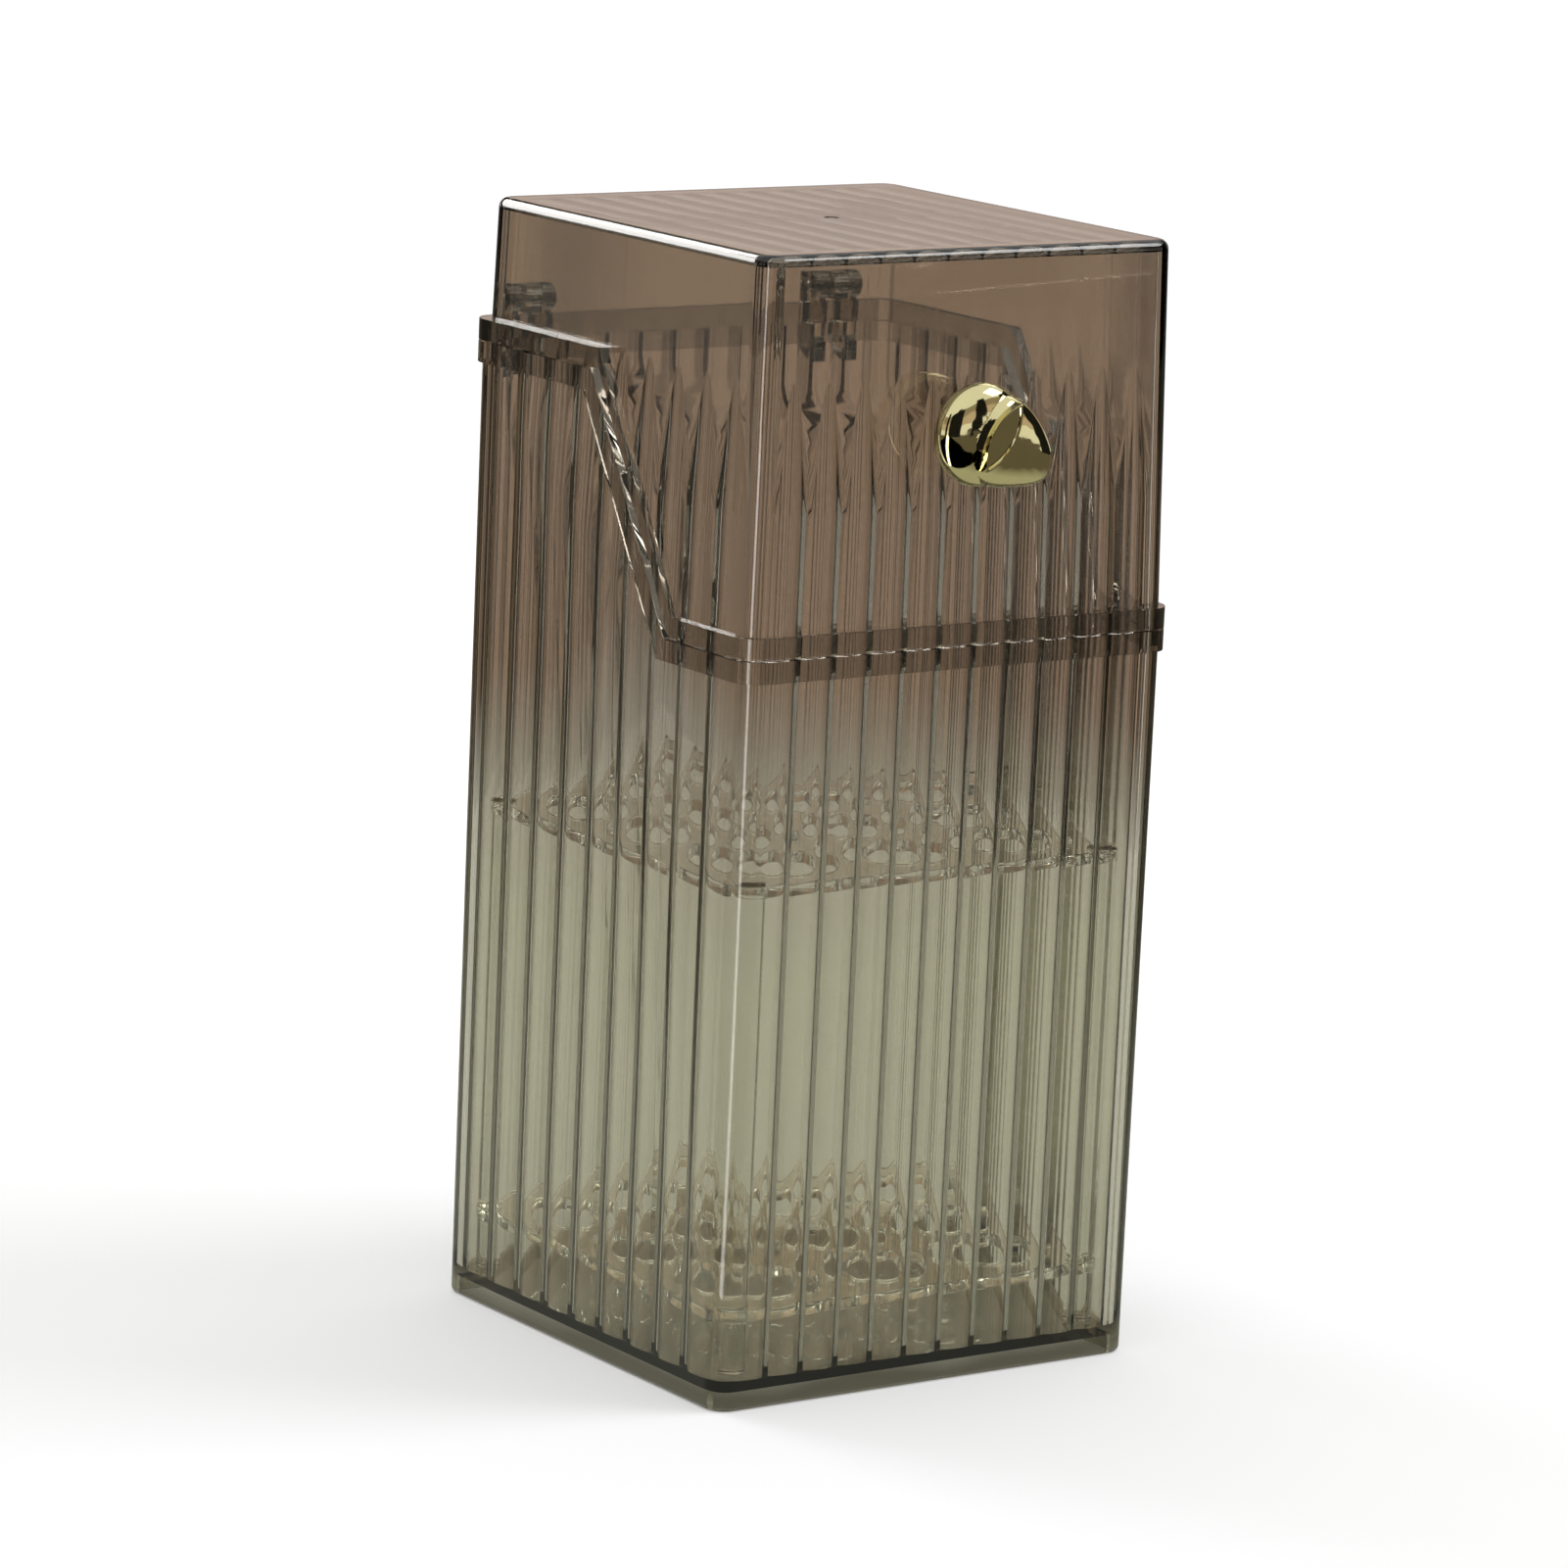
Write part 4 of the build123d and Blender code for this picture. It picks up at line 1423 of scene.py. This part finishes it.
def build_lamp(name, place, size_x, size_y, power):
    data = bpy.data.lights.new(name, "AREA")
    data.shape = "RECTANGLE"
    data.size = size_x
    data.size_y = size_y
    data.energy = power
    lamp = bpy.data.objects.new(name, data)
    bpy.context.scene.collection.objects.link(lamp)
    lamp.location = place
    aim = Vector((0, 0, BOX_HEIGHT / 2)) - Vector(place)
    lamp.rotation_euler = aim.to_track_quat("-Z", "Y").to_euler()
    lamp.visible_camera = False
    lamp.visible_transmission = False


def build_camera():
    """The camera that the photograph was fitted with."""
    azimuth, elevation, roll = CAMERA_AZIMUTH, CAMERA_ELEVATION, CAMERA_ROLL
    back = Vector(
        (
            math.sin(azimuth) * math.cos(elevation),
            -math.cos(azimuth) * math.cos(elevation),
            math.sin(elevation),
        )
    )
    right = Vector((math.cos(azimuth), math.sin(azimuth), 0))
    up = back.cross(right)
    rolled_right = math.cos(roll) * right + math.sin(roll) * up
    rolled_up = -math.sin(roll) * right + math.cos(roll) * up
    data = bpy.data.cameras.new("camera")
    data.lens = CAMERA_LENS
    data.sensor_width = CAMERA_SENSOR
    camera = bpy.data.objects.new("camera", data)
    bpy.context.scene.collection.objects.link(camera)
    turn = Matrix((rolled_right, rolled_up, back)).transposed().to_4x4()
    camera.matrix_world = Matrix.Translation(CAMERA_TARGET + back * CAMERA_DISTANCE) @ turn
    bpy.context.scene.camera = camera


def set_rays():
    scene = bpy.context.scene
    scene.view_settings.view_transform = "Standard"
    scene.cycles.max_bounces = 24
    scene.cycles.transmission_bounces = 24
    scene.cycles.glossy_bounces = 8
    scene.cycles.diffuse_bounces = 3
    scene.cycles.transparent_max_bounces = 24
    scene.cycles.use_denoising = True
    scene.cycles.caustics_reflective = False
    scene.cycles.caustics_refractive = False


# Operators and panel


class BRUSHBOX_OT_body(bpy.types.Operator):
    """Build the fluted body with its flange, floor, skirt and hinge lugs"""

    bl_idname = "brush_box.body"
    bl_label = "Body"

    def execute(self, context):
        finish_piece(add_body(), "box", "smoke_plastic", smoke_plastic, "body_shell")
        return {"FINISHED"}


class BRUSHBOX_OT_lid(bpy.types.Operator):
    """Build the lid with its flange, flutes, gate mark and hinge lugs"""

    bl_idname = "brush_box.lid"
    bl_label = "Lid"

    def execute(self, context):
        finish_piece(add_lid(), "lid", "smoke_plastic", smoke_plastic, "lid_shell")
        return {"FINISHED"}


class BRUSHBOX_OT_hinge_pins(bpy.types.Operator):
    """Build the two hinge pins"""

    bl_idname = "brush_box.hinge_pins"
    bl_label = "Hinge pins"

    def execute(self, context):
        left, right = "hinge_pin_left", "hinge_pin_right"
        pin = add_hinge_pin("pin_left", left)
        twin = copy_to_node(pin, "pin_right", left, right)
        finish_piece(pin, "box", "steel", plain_steel, left)
        finish_piece(twin, "box", "steel", plain_steel, right)
        return {"FINISHED"}


class BRUSHBOX_OT_knob(bpy.types.Operator):
    """Build the gold knob and the screw that holds it"""

    bl_idname = "brush_box.knob"
    bl_label = "Knob and screw"

    def execute(self, context):
        finish_piece(add_knob(), "lid", "gold_plate", gold_plate, "knob")
        finish_piece(add_screw(), "lid", "steel", plain_steel, "knob_screw")
        return {"FINISHED"}


class BRUSHBOX_OT_rack(bpy.types.Operator):
    """Build the two perforated trays and the four posts between them"""

    bl_idname = "brush_box.rack"
    bl_label = "Rack"

    def execute(self, context):
        upper, lower = "rack_upper_tray", "rack_lower_tray"
        tray = add_tray("upper_tray", upper)
        pieces = {upper: tray, lower: copy_to_node(tray, "lower_tray", upper, lower)}
        first = "rack_post_front_left"
        post = add_post("post_front_left", first)
        pieces[first] = post
        for place in ("front_right", "rear_left", "rear_right"):
            node = f"rack_post_{place}"
            pieces[node] = copy_to_node(post, f"post_{place}", first, node)
        for node, piece in pieces.items():
            finish_piece(piece, "rack", "clear_plastic", clear_plastic, node)
        return {"FINISHED"}


class BRUSHBOX_OT_stage(bpy.types.Operator):
    """Set up the pale floor, the soft light and the camera"""

    bl_idname = "brush_box.stage"
    bl_label = "Stage"

    def execute(self, context):
        build_world()
        build_floor()
        build_wall()
        build_screen()
        build_band()
        build_carpet()
        build_strip()
        build_edge_card()
        build_slats()
        build_flags()
        for lamp in LAMPS:
            build_lamp(*lamp)
        build_camera()
        set_rays()
        return {"FINISHED"}


class BRUSHBOX_PT_sidebar(bpy.types.Panel):
    """Buttons and settings of the brush box"""

    bl_idname = "BRUSHBOX_PT_sidebar"
    bl_label = "Brush box"
    bl_space_type = "VIEW_3D"
    bl_region_type = "UI"
    bl_category = "Brush box"

    def draw(self, context):
        for settings in (context.scene.brush_box_shape, context.scene.brush_box_finish):
            box = self.layout.box()
            for name in settings.__annotations__:
                box.prop(settings, name)
        for operator in PIECE_OPERATORS:
            self.layout.operator(operator.bl_idname)


PIECE_OPERATORS = (
    BRUSHBOX_OT_body,
    BRUSHBOX_OT_lid,
    BRUSHBOX_OT_hinge_pins,
    BRUSHBOX_OT_knob,
    BRUSHBOX_OT_rack,
    BRUSHBOX_OT_stage,
)
CLASSES = (BrushBoxShape, BrushBoxFinish, *PIECE_OPERATORS, BRUSHBOX_PT_sidebar)


def register():
    for one in CLASSES:
        bpy.utils.register_class(one)
    bpy.types.Scene.brush_box_shape = PointerProperty(type=BrushBoxShape)
    bpy.types.Scene.brush_box_finish = PointerProperty(type=BrushBoxFinish)


def unregister():
    del bpy.types.Scene.brush_box_finish
    del bpy.types.Scene.brush_box_shape
    for one in reversed(CLASSES):
        bpy.utils.unregister_class(one)


def main():
    register()
    bpy.ops.object.select_all(action="DESELECT")
    bpy.ops.brush_box.body()
    bpy.ops.brush_box.lid()
    bpy.ops.brush_box.hinge_pins()
    bpy.ops.brush_box.knob()
    bpy.ops.brush_box.rack()
    bpy.ops.brush_box.stage()


if __name__ == "__main__":
    main()
